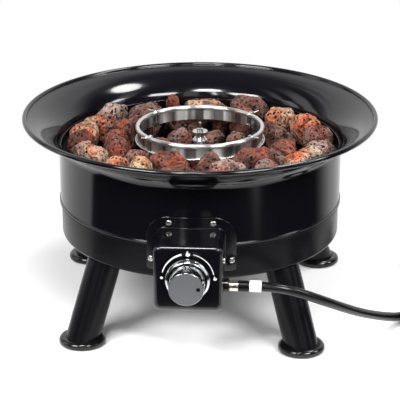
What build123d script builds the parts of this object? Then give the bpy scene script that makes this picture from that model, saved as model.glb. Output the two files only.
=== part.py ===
from build123d import *
from math import asin, atan, atan2, cos, degrees, pi, radians, sin, sqrt, tan
import os

os.makedirs("parts", exist_ok=True)

# A portable gas fire bowl. Millimetres, standing on the floor at Z = 0, control box towards -Y.

# Bowl: flared rim with a wired lip, straight drum, hemmed lower edge
rim_dia = 482.0
lip_wire_dia = 7.0
lip_z = 276.0
drum_dia = 384.0
flare_z = 243.0
flare_bow = 4.0
flare_blend = 5.0
sheet = 1.2
hem_z = 160.0
hem_height = 3.0
hem_fold = 1.2

# Base pan inside the drum, and the fire pan that stands on its ledge
drop_fit = 0.3
base_z = 113.5
base_corner = 4.0
ridge_height = 3.0
ledge_z = 204.0
ledge_width = 14.0
vent_dia = 20.0
vent_ring_dia = 210.0
vent_count = 10
pan_rim_drop = 5.0
pan_corner = 3.0
drain_dia = 8.0
drain_ring_dia = 205.0
drain_count = 6

# Legs: tubes that splay out to round foot caps
leg_dia = 45.0
leg_wall = 1.6
leg_top_r = 166.0
front_foot_r = 211.0
rear_foot_r = 228.0
leg_angles = {"front_left": -135.5, "front_right": -46.5, "rear_left": 140.0, "rear_right": 42.5}
foot_dia = 62.5
foot_height = 10.0
foot_web = 3.0
foot_round = 5.5
foot_sole_round = 3.5
socket_fit = 0.15
plug_depth = 14.0
plug_fit = 0.2
leg_bolt_dia = 8.0
leg_bolt_flats = 13.0
leg_bolt_head = 5.3
bolt_fit = 0.2

# Control box, drawn from one sheet, with a flange that wraps the drum
box_sheet = 1.5
box_depth = 61.1
box_width = 87.0
box_low_z = 98.7
box_high_z = 186.0
box_corner = 9.0
box_edge = 6.0
flange_ear = 14.5
flange_low_z = 127.0
flange_high_z = 201.0
flange_corner = 30.0
flange_toe = 4.0
flange_fit = 0.2
screw_dia = 4.0
screw_head_dia = 7.8
screw_head = 2.4
screw_dome = 1.4
screw_length = 8.0
screw_hole_fit = 0.25
screw_slot = 1.1
top_screw_x = 28.0
top_screw_z = 193.0
side_screw_out = 8.5
side_screw_z = 141.6
box_screw_in = 20.0
box_screw_z = 161.0

# Knob, stem and valve; d is the distance ahead of the bowl's axis
knob_z = 144.0
push_travel = 3.0
push_spare = 1.0
skirt_dia = 56.0
skirt_thick = 5.0
skirt_edge = 1.8
grip_root_dia = 46.5
grip_tip_dia = 43.8
grip_length = 26.0
grip_edge = 0.6
grip_flutes = 18
flute_dia = 3.2
knob_wall = 3.0
face_disc_dia = 41.8
face_disc_thick = 1.5
face_fit = 0.15
hub_dia = 16.0
stem_dia = 8.0
stem_flat = 1.2
stem_fit = 0.05
stem_in_hub = 9.5
bonnet_dia = 16.0
bonnet_out = 6.0
bonnet_fit = 0.2
panel_nut_flats = 22.0
panel_nut_thick = 4.0
washer_dia = 23.0
washer_thick = 1.5
seat_gap = 0.1
spring_wire = 1.2
spring_dia = 19.6
spring_turns = 4
valve_width = 22.0
valve_low_z = 112.0
valve_high_z = 156.0
shoulder_dia = 26.0
shoulder_length = 6.5
stem_bore_depth = 16.0
stem_room = 6.0
outlet_dia = 14.0
outlet_length = 8.0
jet_flats = 11.0
jet_hex = 5.0
jet_tip_dia = 6.0
jet_tip = 5.0
jet_bore = 1.4

# Mixing tube and burner
tube_dia = 19.0
tube_wall = 1.2
bell_dia = 27.0
bell_length = 7.0
bell_clear = 5.4
elbow_r = 38.0
wall_flange_dia = 40.0
wall_flange_thick = 1.5
tube_fit = 0.2
lock_nut_flats = 30.0
lock_nut_thick = 6.0
burner_z = 240.0
burner_base_dia = 21.0
burner_neck_dia = 13.0
burner_base_height = 4.5
spigot = 5.0
post_dia = 3.0
post_ring_dia = 9.6
post_length = 3.5
post_count = 4
cap_dia = 21.5
cap_thick = 4.0
cap_notch_dia = 4.0
stud_dia = 4.4
stud_top_z = 264.5
stud_fit = 0.15
cap_nut_flats = 8.0
cap_nut_thick = 3.5

# Fire ring: rolled band, wire hoop, legs, struts and clips
ring_dia = 176.0
ring_bead_dia = 6.0
ring_bead_z = 258.5
ring_low_z = 241.0
band_sheet = 1.2
band_lip = 0.9
hoop_wire = 2.2
hoop_gap = 0.15
strut_wire = 2.2
ring_leg_wire = 4.0
clip_wire = 2.2
clip_angles = (38.0, 142.0, 222.0, 326.0)
clip_fit = 0.15
clip_drop = 14.5
clip_tail = 16.0
clip_nut_flats = 6.0
clip_nut_thick = 3.0

# Lava rocks in three rows on the fire pan
rock_gap = 0.8
rock_points = 22
rock_square = 2.6
rock_ragged = 0.24
rock_mixed = 0.55
outer_rocks = 21
inner_rocks = 15
core_rocks = 8
outer_row = (139.0, 187.0)
inner_row = (94.0, 138.0)
core_row = (38.0, 78.0)
outer_height = (44.0, 58.0)
inner_height = (40.0, 54.0)
core_height = (30.0, 38.0)
front_lift = 9.0
front_share = 0.6

# Gas inlet and hose
hose_dia = 12.6
inlet_in = 12.0
inlet_z = 123.0
union_dia = 14.0
union_bore = 7.0
union_fit = 0.2
collar_dia = 20.0
collar_length = 7.5
fitting_flats = 13.6
fitting_length = 11.0
ferrule_dia = 14.2
ferrule_length = 12.5
tag_dia = 15.0
tag_length = 15.0
tag_gap = 2.0
tag_fit = 0.15

# The hose leaves the ferrule straight, then takes this route, from the bowl's axis at floor level
hose_lead = 34.0
hose_route = [
    (138.0, -222.0, 113.5),
    (166.0, -207.0, 97.5),
    (193.0, -181.0, 76.5),
    (221.0, -145.0, 52.0),
    (250.0, -102.0, 28.0),
    (282.0, -59.0, 7.5),
    (316.0, -20.0, 7.5),
]
coil_gap = 0.6
coil_in = 6
coil_out = 5
coil_least_r = 50.4
tail_bend_r = 80.0
tie_thick = 1.0
tie_width = 14.0
tie_fit = 0.2

# Regulator on the hose's far end
reg_ferrule_dia = 16.5
reg_ferrule_length = 24.0
reg_neck_dia = 14.0
reg_neck = 10.0
reg_body_dia = 60.0
reg_body_height = 34.0
reg_cover_dia = 54.0
reg_cover_height = 6.0
reg_vent_dia = 9.0
reg_inlet_dia = 20.0
reg_inlet = 9.0
nipple_dia = 12.0
nipple_length = 30.0
nipple_collar_dia = 17.0
nipple_collar = 2.0
nut_dia = 38.0
nut_length = 24.0
nut_back = 5.0
nut_bore_dia = 33.4
nut_run = 0.08
nut_end_gap = 0.3
nut_ridges = 14
nut_ridge_dia = 3.0

# What follows from the sizes above
rim_r = rim_dia / 2
drum_r = drum_dia / 2
lip_r = rim_r - lip_wire_dia / 2
base_r = drum_r - sheet - drop_fit
pan_floor_z = ledge_z + sheet
flange_in = drum_r + hem_fold + flange_fit
flange_out = flange_in + box_sheet
flange_width = box_width + 2 * flange_ear
side_screw_x = box_width / 2 + side_screw_out
panel_d = flange_out + box_depth
bell_d = base_r + bell_clear + bell_length
jet_back_d = bell_d + seat_gap + jet_hex
valve_back_d = jet_back_d + outlet_length
valve_front_d = panel_d - box_sheet - shoulder_length
stem_bore_d = valve_front_d - stem_bore_depth
stem_end_d = stem_bore_d + stem_room
inlet_d = valve_back_d + inlet_in
skirt_d = panel_d + push_travel + push_spare
grip_d = skirt_d + skirt_thick
knob_front_d = grip_d + grip_length
bowl_y = (knob_front_d - rim_r) / 2
bowl_axis = Axis((0, bowl_y, 0), (0, 0, 1))
profile = Plane((0, bowl_y, 0), x_dir=(1, 0, 0), z_dir=(0, -1, 0))


def level(z):
    # A flat plane round the bowl's axis
    return Plane((0, bowl_y, z))


def facing(d, x=0.0, z=0.0):
    # An upright plane at a distance ahead of the bowl's axis, its normal to the front
    return Plane((x, bowl_y - d, z), x_dir=(1, 0, 0), z_dir=(0, -1, 0))


def spot(angle, radius, z):
    return (radius * cos(radians(angle)), bowl_y + radius * sin(radians(angle)), z)


def radial(angle, radius, z):
    # An upright plane across a radius of the bowl, its normal outwards
    a = radians(angle)
    return Plane(spot(angle, radius, z), x_dir=(-sin(a), cos(a), 0), z_dir=(cos(a), sin(a), 0))


def upright(angle):
    # A plane through the bowl's axis: local x is the radius, local y the height
    a = radians(angle)
    return Plane((0, bowl_y, 0), x_dir=(cos(a), sin(a), 0), z_dir=(sin(a), -cos(a), 0))


def save(part, name):
    part.label = name
    export_step(part, f"parts/{name}.step")


# Flange screws: two through the drum above, two through the base pan below
def screw_angles(x):
    a = degrees(asin(x / flange_out))
    return (-90 - a, -90 + a)


drum_screws = [radial(a, flange_out, top_screw_z) for a in screw_angles(top_screw_x)]
base_screws = [radial(a, flange_out, side_screw_z) for a in screw_angles(side_screw_x)]
box_side = Plane(
    (box_width / 2, bowl_y - panel_d + box_screw_in, box_screw_z), x_dir=(0, 1, 0), z_dir=(1, 0, 0)
)

# Bowl
with BuildPart() as fire_bowl:
    with BuildSketch(profile):
        with BuildLine():
            Line((drum_r, hem_z), (drum_r, flare_z))
            SagittaArc((drum_r, flare_z), (lip_r, lip_z), flare_bow)
            offset(amount=sheet, side=Side.LEFT)
        make_face()
        with Locations((lip_r, lip_z)):
            Circle(lip_wire_dia / 2)
        with Locations((drum_r + hem_fold, hem_z)):
            Rectangle(hem_fold + sheet / 2, hem_height, align=(Align.MAX, Align.MIN))
    revolve(axis=bowl_axis)
    bends = fire_bowl.edges().filter_by(GeomType.CIRCLE)
    fillet(bends.filter_by_position(Axis.Z, flare_z - 2 * sheet, flare_z + 2 * sheet), flare_blend)
    hem = fire_bowl.edges().filter_by(GeomType.CIRCLE).group_by(SortBy.RADIUS)
    hem_rims = [e for g in hem for e in g if abs(e.radius - drum_r - hem_fold) < sheet / 10]
    fillet(hem_rims, hem_fold / 2)
    with BuildSketch(*drum_screws):
        Circle(screw_dia / 2 + screw_hole_fit)
    extrude(amount=-screw_length - sheet, mode=Mode.SUBTRACT)
save(fire_bowl.part, "fire_bowl")

# Legs: where each axis meets the base, and the planes square to them
leg_tilts = {}
leg_planes = {}
bolt_spots = []
for name, angle in leg_angles.items():
    a = radians(angle)
    ring_r = front_foot_r if name.startswith("front") else rear_foot_r
    tilt = atan((ring_r - leg_top_r) / base_z)
    down = (sin(tilt) * cos(a), sin(tilt) * sin(a), -cos(tilt))
    leg_tilts[name] = tilt
    leg_planes[name] = Plane(spot(angle, leg_top_r, base_z), x_dir=(-sin(a), cos(a), 0), z_dir=down)
    bolt_spots.append(spot(angle, leg_top_r + plug_depth / 2 * tan(tilt), base_z))
leg_reach = base_z / cos(max(leg_tilts.values())) + leg_dia

# Base pan
with BuildPart() as base_pan:
    with BuildSketch(profile):
        with BuildLine():
            FilletPolyline(
                (0, base_z),
                (base_r, base_z),
                (base_r, ledge_z),
                (base_r - ledge_width, ledge_z),
                radius=base_corner,
            )
            offset(amount=sheet, side=Side.LEFT)
        make_face()
        with Locations((drum_r + hem_fold, hem_z)):
            Rectangle(drum_r + hem_fold - base_r + sheet / 2, ridge_height, align=(Align.MAX, Align.MAX))
    revolve(axis=bowl_axis)
    ridge = base_pan.edges().filter_by(GeomType.CIRCLE)
    fillet([e for e in ridge if abs(e.radius - drum_r - hem_fold) < sheet / 10], hem_fold / 2)
    with BuildSketch(level(base_z)):
        with PolarLocations(vent_ring_dia / 2, vent_count):
            Circle(vent_dia / 2)
    extrude(amount=2 * sheet, mode=Mode.SUBTRACT)
    with BuildSketch(*[Plane(p) for p in bolt_spots]):
        Circle(leg_bolt_dia / 2 + bolt_fit)
    extrude(amount=2 * sheet, mode=Mode.SUBTRACT)
    with BuildSketch(*drum_screws, *base_screws):
        Circle(screw_dia / 2 + screw_hole_fit)
    extrude(amount=-screw_length - sheet, mode=Mode.SUBTRACT)
    with BuildSketch(facing(base_r + sheet, z=knob_z)):
        Circle(tube_dia / 2 + 2 * tube_fit + sheet)
    extrude(amount=-3 * sheet, mode=Mode.SUBTRACT)
save(base_pan.part, "base_pan")

# Fire pan
with BuildPart() as fire_pan:
    with BuildSketch(profile):
        with BuildLine():
            FilletPolyline(
                (tube_dia / 2 + tube_fit, ledge_z),
                (base_r, ledge_z),
                (base_r, flare_z - pan_rim_drop),
                radius=pan_corner,
            )
            offset(amount=sheet, side=Side.LEFT)
        make_face()
    revolve(axis=bowl_axis)
    with BuildSketch(level(ledge_z)):
        with PolarLocations(drain_ring_dia / 2, drain_count):
            Circle(drain_dia / 2)
    extrude(amount=2 * sheet, mode=Mode.SUBTRACT)
save(fire_pan.part, "fire_pan")

# Leg tubes, their foot caps and the plugs and bolts that hold them
floor_plane = Plane.XY
for name, plane in leg_planes.items():
    angle = leg_angles[name]
    with BuildPart() as leg:
        with BuildSketch(plane.offset(-leg_dia)):
            Circle(leg_dia / 2)
            Circle(leg_dia / 2 - leg_wall, mode=Mode.SUBTRACT)
        extrude(amount=leg_dia + leg_reach)
        split(bisect_by=floor_plane.offset(base_z), keep=Keep.BOTTOM)
        split(bisect_by=floor_plane.offset(foot_web), keep=Keep.TOP)
    save(leg.part, f"leg_{name}")
    with BuildPart() as socket:
        with BuildSketch(plane):
            Circle(leg_dia / 2 + socket_fit)
        extrude(amount=leg_reach)
        split(bisect_by=floor_plane.offset(foot_web), keep=Keep.TOP)
    with BuildPart() as foot:
        foot_r = leg_top_r + (base_z - foot_height / 2) * tan(leg_tilts[name])
        with BuildSketch(Plane(spot(angle, foot_r, 0))):
            Circle(foot_dia / 2)
        extrude(amount=foot_height)
        fillet(foot.faces().sort_by(Axis.Z)[-1].edges(), foot_round)
        fillet(foot.faces().sort_by(Axis.Z)[0].edges(), foot_sole_round)
        add(socket.part, mode=Mode.SUBTRACT)
    save(foot.part, f"foot_{name}")

with BuildPart() as leg_plugs:
    with BuildSketch(*[plane.offset(-leg_dia) for plane in leg_planes.values()]):
        Circle(leg_dia / 2 - leg_wall - plug_fit)
    extrude(amount=leg_dia + leg_reach)
    split(bisect_by=floor_plane.offset(base_z), keep=Keep.BOTTOM)
    split(bisect_by=floor_plane.offset(base_z - plug_depth), keep=Keep.TOP)
    with BuildSketch(*[Plane(p) for p in bolt_spots]):
        Circle(leg_bolt_dia / 2 + bolt_fit)
    extrude(amount=-plug_depth, mode=Mode.SUBTRACT)
save(leg_plugs.part, "leg_plugs")

with BuildPart() as leg_bolts:
    with BuildSketch(*[Plane(p).offset(sheet) for p in bolt_spots]):
        RegularPolygon(leg_bolt_flats / 2, 6, major_radius=False)
    extrude(amount=leg_bolt_head)
    with BuildSketch(*[Plane(p).offset(sheet) for p in bolt_spots]):
        Circle(leg_bolt_dia / 2)
    extrude(amount=-sheet - plug_depth)
save(leg_bolts.part, "leg_bolts")

# Control box: drawn body, wrapped flange, open back
box_height = box_high_z - box_low_z
box_mid_z = (box_high_z + box_low_z) / 2
with BuildPart() as flange:
    with BuildSketch(level(flange_low_z - box_height)):
        Circle(flange_out)
        Circle(flange_in, mode=Mode.SUBTRACT)
    extrude(amount=flange_high_z - flange_low_z + 2 * box_height)
    with BuildSketch(facing(panel_d, z=flange_low_z)) as outline:
        Rectangle(flange_width, flange_high_z - flange_low_z, align=(Align.CENTER, Align.MIN))
        fillet(outline.vertices().group_by(Axis.Y)[-1], flange_corner)
        fillet(outline.vertices().group_by(Axis.Y)[0], flange_toe)
    extrude(amount=-panel_d, mode=Mode.INTERSECT)

with BuildPart() as box_cavity:
    with BuildSketch(facing(panel_d - box_sheet, z=box_mid_z)):
        RectangleRounded(box_width - 2 * box_sheet, box_height - 2 * box_sheet, box_corner - box_sheet)
    extrude(amount=flange_in - panel_d - flange_width / 2)
    fillet(box_cavity.faces().sort_by(Axis.Y)[0].edges(), box_edge - box_sheet)

with BuildPart() as control_box:
    with BuildSketch(facing(panel_d, z=box_mid_z)):
        RectangleRounded(box_width, box_height, box_corner)
    extrude(amount=flange_in - panel_d - flange_width / 2)
    fillet(control_box.faces().sort_by(Axis.Y)[0].edges(), box_edge)
    with BuildSketch(level(0)):
        Circle(flange_in)
    extrude(amount=box_high_z + box_height, mode=Mode.SUBTRACT)
    add(flange.part)
    add(box_cavity.part, mode=Mode.SUBTRACT)
    with BuildSketch(facing(panel_d, z=knob_z)):
        Circle(bonnet_dia / 2 + bonnet_fit)
    extrude(amount=-2 * box_sheet, mode=Mode.SUBTRACT)
    with BuildSketch(Plane((box_width / 2, bowl_y - inlet_d, inlet_z), x_dir=(0, 1, 0), z_dir=(1, 0, 0))):
        Circle(union_dia / 2 + union_fit)
    extrude(amount=-2 * box_sheet, mode=Mode.SUBTRACT)
    with BuildSketch(*drum_screws, *base_screws, box_side):
        Circle(screw_dia / 2 + screw_hole_fit)
    extrude(amount=-2 * box_sheet, mode=Mode.SUBTRACT)
save(control_box.part, "control_box")

with BuildPart() as pan_screw:
    with BuildSketch():
        Circle(screw_head_dia / 2)
    extrude(amount=screw_head)
    fillet(pan_screw.faces().sort_by(Axis.Z)[-1].edges(), screw_dome)
    with BuildSketch():
        Circle(screw_dia / 2)
    extrude(amount=-screw_length)
    with BuildSketch(Plane.XY.offset(screw_head)):
        Rectangle(screw_dia, screw_slot)
        Rectangle(screw_slot, screw_dia)
    extrude(amount=-screw_slot, mode=Mode.SUBTRACT)

with BuildPart() as box_screws:
    with Locations(*drum_screws, *base_screws, box_side):
        add(pan_screw.part)
save(box_screws.part, "box_screws")

# Valve, with the stem's bore open to the front
bonnet_front_d = panel_d + bonnet_out
with BuildPart() as valve_body:
    with BuildSketch(facing(valve_back_d, z=(valve_low_z + valve_high_z) / 2)):
        RectangleRounded(valve_width, valve_high_z - valve_low_z, base_corner)
    extrude(amount=valve_front_d - valve_back_d)
    with BuildSketch(facing(valve_front_d, z=knob_z)):
        Circle(shoulder_dia / 2)
    extrude(amount=panel_d - box_sheet - valve_front_d)
    with BuildSketch(facing(panel_d - box_sheet, z=knob_z)):
        Circle(bonnet_dia / 2)
    extrude(amount=bonnet_front_d - panel_d + box_sheet)
    with BuildSketch(facing(valve_back_d, z=knob_z)):
        Circle(outlet_dia / 2)
    extrude(amount=-outlet_length)
    with BuildSketch(facing(stem_bore_d, z=knob_z)):
        Circle(stem_dia / 2 + stem_fit)
    extrude(amount=bonnet_front_d - stem_bore_d, mode=Mode.SUBTRACT)
save(valve_body.part, "valve_body")

with BuildPart() as panel_nut:
    with BuildSketch(facing(panel_d, z=knob_z)):
        RegularPolygon(panel_nut_flats / 2, 6, major_radius=False)
        Circle(bonnet_dia / 2 + bonnet_fit, mode=Mode.SUBTRACT)
    extrude(amount=panel_nut_thick)
save(panel_nut.part, "panel_nut")

# Knob: skirt, fluted grip, hub with a D bore, satin face disc
hub_end_d = knob_front_d - knob_wall - face_disc_thick
stem_tip_d = hub_end_d - seat_gap
hub_back_d = hub_end_d - stem_in_hub
with BuildPart() as control_knob:
    with BuildSketch(facing(skirt_d, z=knob_z)):
        Circle(skirt_dia / 2)
    extrude(amount=skirt_thick)
    fillet(control_knob.faces().sort_by(Axis.Y)[0].edges(), skirt_edge)
    with BuildSketch(facing(grip_d, z=knob_z)):
        Circle(grip_root_dia / 2)
    extrude(amount=grip_length, taper=degrees(atan((grip_root_dia - grip_tip_dia) / 2 / grip_length)))
    fillet(control_knob.faces().sort_by(Axis.Y)[0].edges(), grip_edge)
    with BuildSketch(facing(grip_d + skirt_edge, z=knob_z)):
        with PolarLocations((grip_root_dia + flute_dia / 2) / 2, grip_flutes):
            Circle(flute_dia / 2)
    extrude(amount=grip_length - 3 * skirt_edge, mode=Mode.SUBTRACT)
    with BuildSketch(facing(skirt_d, z=knob_z)):
        Circle(grip_tip_dia / 2 - knob_wall)
    extrude(amount=hub_end_d - skirt_d, mode=Mode.SUBTRACT)
    with BuildSketch(facing(hub_back_d, z=knob_z)):
        Circle(hub_dia / 2)
        Circle(stem_dia / 2 + stem_fit, mode=Mode.SUBTRACT)
    extrude(amount=stem_in_hub)
    with BuildSketch(facing(knob_front_d, z=knob_z)):
        Circle(face_disc_dia / 2 + face_fit)
    extrude(amount=-face_disc_thick, mode=Mode.SUBTRACT)
save(control_knob.part, "control_knob")

with BuildPart() as knob_face:
    with BuildSketch(facing(knob_front_d - face_disc_thick, z=knob_z)):
        Circle(face_disc_dia / 2)
    extrude(amount=face_disc_thick)
save(knob_face.part, "knob_face")

with BuildPart() as valve_stem:
    with BuildSketch(facing(stem_end_d, z=knob_z)):
        Circle(stem_dia / 2)
    extrude(amount=stem_tip_d - stem_end_d)
    with BuildSketch(facing(stem_tip_d, z=knob_z)):
        with Locations((0, stem_dia / 2)):
            Rectangle(stem_dia, 2 * stem_flat)
    extrude(amount=-stem_in_hub, mode=Mode.SUBTRACT)
save(valve_stem.part, "valve_stem")

washer_d = hub_back_d - seat_gap - washer_thick
with BuildPart() as thrust_washer:
    with BuildSketch(facing(washer_d, z=knob_z)):
        Circle(washer_dia / 2)
        Circle(stem_dia / 2 + 2 * stem_fit, mode=Mode.SUBTRACT)
    extrude(amount=washer_thick)
save(thrust_washer.part, "thrust_washer")

# Return spring between the panel nut and the washer, wound in half turns
spring_start_d = panel_d + panel_nut_thick + seat_gap + spring_wire / 2
spring_end_d = washer_d - seat_gap - spring_wire / 2
spring_step = (spring_end_d - spring_start_d) / (2 * spring_turns)
with BuildPart() as stem_spring:
    with BuildLine() as spring_line:
        for half in range(2 * spring_turns):
            side = spring_dia / 2 * (-1) ** half
            near = bowl_y - spring_start_d - half * spring_step
            ThreePointArc(
                (side, near, knob_z),
                (0, near - spring_step / 2, knob_z + spring_dia / 2 * (-1) ** half),
                (-side, near - spring_step, knob_z),
            )
    with BuildSketch(Plane((spring_dia / 2, bowl_y - spring_start_d, knob_z))):
        Circle(spring_wire / 2)
    sweep(path=spring_line.wire())
save(stem_spring.part, "stem_spring")

# Jet, mixing tube and its supports
with BuildPart() as gas_jet:
    with BuildSketch(facing(jet_back_d, z=knob_z)):
        RegularPolygon(jet_flats / 2, 6, major_radius=False)
    extrude(amount=-jet_hex)
    with BuildSketch(facing(jet_back_d - jet_hex, z=knob_z)):
        Circle(jet_tip_dia / 2)
    extrude(amount=-jet_tip)
    with BuildSketch(facing(jet_back_d, z=knob_z)):
        Circle(jet_bore / 2)
    extrude(amount=-jet_hex - jet_tip, mode=Mode.SUBTRACT)
save(gas_jet.part, "gas_jet")

with BuildPart() as mixing_tube:
    with BuildLine() as tube_line:
        FilletPolyline(
            (0, bowl_y - bell_d + bell_length, knob_z),
            (0, bowl_y, knob_z),
            (0, bowl_y, burner_z),
            radius=elbow_r,
        )
    with BuildSketch(facing(bell_d - bell_length, z=knob_z)):
        Circle(tube_dia / 2)
        Circle(tube_dia / 2 - tube_wall, mode=Mode.SUBTRACT)
    sweep(path=tube_line.wire())
    with BuildSketch(facing(bell_d - bell_length, z=knob_z)):
        Circle(tube_dia / 2)
    with BuildSketch(facing(bell_d, z=knob_z)):
        Circle(bell_dia / 2)
    loft()
    with BuildSketch(facing(bell_d - bell_length, z=knob_z)):
        Circle(tube_dia / 2 - tube_wall)
    with BuildSketch(facing(bell_d, z=knob_z)):
        Circle(bell_dia / 2 - tube_wall)
    loft(mode=Mode.SUBTRACT)
save(mixing_tube.part, "mixing_tube")

flange_seat_d = sqrt((base_r - sheet) ** 2 - (wall_flange_dia / 2) ** 2) - seat_gap
with BuildPart() as tube_flange:
    with BuildSketch(facing(flange_seat_d, z=knob_z)):
        Circle(wall_flange_dia / 2)
        Circle(tube_dia / 2 + tube_fit, mode=Mode.SUBTRACT)
    extrude(amount=-wall_flange_thick)
save(tube_flange.part, "tube_flange")

with BuildPart() as burner_lock_nut:
    with BuildSketch(level(ledge_z)):
        RegularPolygon(lock_nut_flats / 2, 6, major_radius=False)
        Circle(tube_dia / 2 + tube_fit, mode=Mode.SUBTRACT)
    extrude(amount=-lock_nut_thick)
save(burner_lock_nut.part, "burner_lock_nut")

# Burner head: flared base, posts, notched cap, stud and nut
burner_top_z = burner_z + burner_base_height
cap_z = burner_top_z + post_length
with BuildPart() as burner_base:
    with BuildSketch(level(burner_z)):
        Circle(burner_base_dia / 2)
    with BuildSketch(level(burner_top_z)):
        Circle(burner_neck_dia / 2)
    loft()
    with BuildSketch(level(burner_z)):
        Circle(tube_dia / 2 - tube_wall - socket_fit)
    extrude(amount=-spigot)
    with BuildSketch(level(burner_z - spigot)):
        Circle(stud_dia / 2 + stud_fit)
    extrude(amount=spigot + burner_base_height, mode=Mode.SUBTRACT)
save(burner_base.part, "burner_base")

with BuildPart() as burner_posts:
    with BuildSketch(level(burner_top_z)):
        with PolarLocations(post_ring_dia / 2, post_count, start_angle=180 / post_count):
            Circle(post_dia / 2)
    extrude(amount=post_length)
save(burner_posts.part, "burner_posts")

with BuildPart() as burner_cap:
    with BuildSketch(level(cap_z)):
        Circle(cap_dia / 2)
        with PolarLocations(cap_dia / 2, post_count):
            Circle(cap_notch_dia / 2, mode=Mode.SUBTRACT)
        Circle(stud_dia / 2 + stud_fit, mode=Mode.SUBTRACT)
    extrude(amount=cap_thick)
save(burner_cap.part, "burner_cap")

with BuildPart() as burner_stud:
    with BuildSketch(level(burner_z - spigot)):
        Circle(stud_dia / 2)
    extrude(amount=stud_top_z - burner_z + spigot)
    chamfer(burner_stud.edges().sort_by(Axis.Z)[-1], stud_dia / 8)
save(burner_stud.part, "burner_stud")

with BuildPart() as burner_nut:
    with BuildSketch(level(cap_z + cap_thick)):
        RegularPolygon(cap_nut_flats / 2, 6, major_radius=False)
        Circle(stud_dia / 2 + stud_fit, mode=Mode.SUBTRACT)
    extrude(amount=cap_nut_thick)
save(burner_nut.part, "burner_nut")

# Fire ring: band with a rolled bead, turned-out lower lip
bead_r = ring_bead_dia / 2
bead_ring_r = ring_dia / 2 - bead_r
band_r = bead_ring_r + band_sheet / 2
hoop_r = band_r + band_lip + hoop_gap + hoop_wire / 2
hoop_z = ring_low_z
with BuildPart() as fire_ring:
    with BuildSketch(profile):
        with Locations((bead_ring_r, ring_low_z)):
            Rectangle(band_sheet, ring_bead_z - ring_low_z, align=(Align.CENTER, Align.MIN))
            Rectangle(band_lip + band_sheet / 2, band_sheet, align=(Align.MIN, Align.MIN))
        with Locations((bead_ring_r, ring_bead_z)):
            Circle(bead_r)
    revolve(axis=bowl_axis)
save(fire_ring.part, "fire_ring")

with BuildPart() as ring_hoop:
    with BuildSketch(profile):
        with Locations((hoop_r, hoop_z)):
            Circle(hoop_wire / 2)
    revolve(axis=bowl_axis)
save(ring_hoop.part, "ring_hoop")

# Struts stand on the hoop and stop under the bead, legs carry the hoop on the fire pan
strut_r = band_r + seat_gap + strut_wire / 2
strut_top_z = ring_bead_z - sqrt(bead_r**2 - (strut_r - bead_ring_r) ** 2) - seat_gap
strut_foot_z = ring_low_z + band_sheet + seat_gap
leg_top_z = hoop_z - hoop_wire / 2
with BuildPart() as ring_struts:
    with BuildSketch(*[Plane(spot(a, strut_r, strut_foot_z)) for a in clip_angles]):
        Circle(strut_wire / 2)
    extrude(amount=strut_top_z - strut_foot_z - bead_r / 2)
save(ring_struts.part, "ring_struts")

with BuildPart() as ring_legs:
    with BuildSketch(*[Plane(spot(a, hoop_r, pan_floor_z)) for a in clip_angles]):
        Circle(ring_leg_wire / 2)
    extrude(amount=leg_top_z - pan_floor_z)
save(ring_legs.part, "ring_legs")

# Clips hook over the bead, with a nut on the inner end and a sprung tail outside
clip_off = bead_r + clip_fit + clip_wire / 2
with BuildPart() as ring_clips:
    for angle in clip_angles:
        plane = upright(angle)
        with BuildLine(plane) as clip_line:
            inner = bead_ring_r - clip_off
            down = Line((inner, ring_bead_z - clip_drop), (inner, ring_bead_z))
            over = CenterArc((bead_ring_r, ring_bead_z), clip_off, 180, -110)
            JernArc(over @ 1, over % 1, clip_tail, 45)
        with BuildSketch(Plane(down @ 0, z_dir=(0, 0, 1))):
            Circle(clip_wire / 2)
        sweep(path=clip_line.wire())
save(ring_clips.part, "ring_clips")

clip_r = bead_ring_r - clip_off
with BuildPart() as clip_nuts:
    with BuildSketch(*[Plane(spot(a, clip_r, ring_bead_z - clip_drop)) for a in clip_angles]):
        RegularPolygon(clip_nut_flats / 2, 6, major_radius=False)
        Circle(clip_wire / 2 + clip_fit, mode=Mode.SUBTRACT)
    extrude(amount=clip_nut_thick)
save(clip_nuts.part, "clip_nuts")


# Lava rocks: rough convex stones, one to each cell of a row
def wobble(seed):
    # A repeatable value from 0 to 1
    value = sin(seed * 12.9898 + 4.1414) * 43758.5453
    return value - int(value) if value > 0 else value - int(value) + 1


def stone(angle, middle, halves, seed):
    # Corners of one stone: points spread over a squared ball, kept inside the stone's own wedge
    half_radial, half_across, half_tall = halves
    points = []
    for k in range(rock_points):
        z = 1 - 2 * (k + 0.5) / rock_points
        turn = k * pi * (3 - sqrt(5)) + 6.28 * wobble(seed + 0.1)
        x, y = sqrt(1 - z**2) * cos(turn), sqrt(1 - z**2) * sin(turn)
        square = (abs(x) ** rock_square + abs(y) ** rock_square + abs(z) ** rock_square) ** (-1 / rock_square)
        swell = square * (1 - rock_ragged * wobble(seed * 3.7 + k))
        points.append((x * swell, y * swell, z * swell))
    wide, deep, tall = (max(abs(p[i]) for p in points) for i in range(3))
    lowest = min(z for x, y, z in points) / tall
    a = radians(angle)
    corners = []
    for x, y, z in points:
        r = middle + x / wide * half_radial
        t = y / deep * half_across * r / middle
        flat = (r * cos(a) - t * sin(a), bowl_y + r * sin(a) + t * cos(a))
        corners.append((*flat, pan_floor_z + seat_gap + (z / tall - lowest) * half_tall))
    return corners


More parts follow.
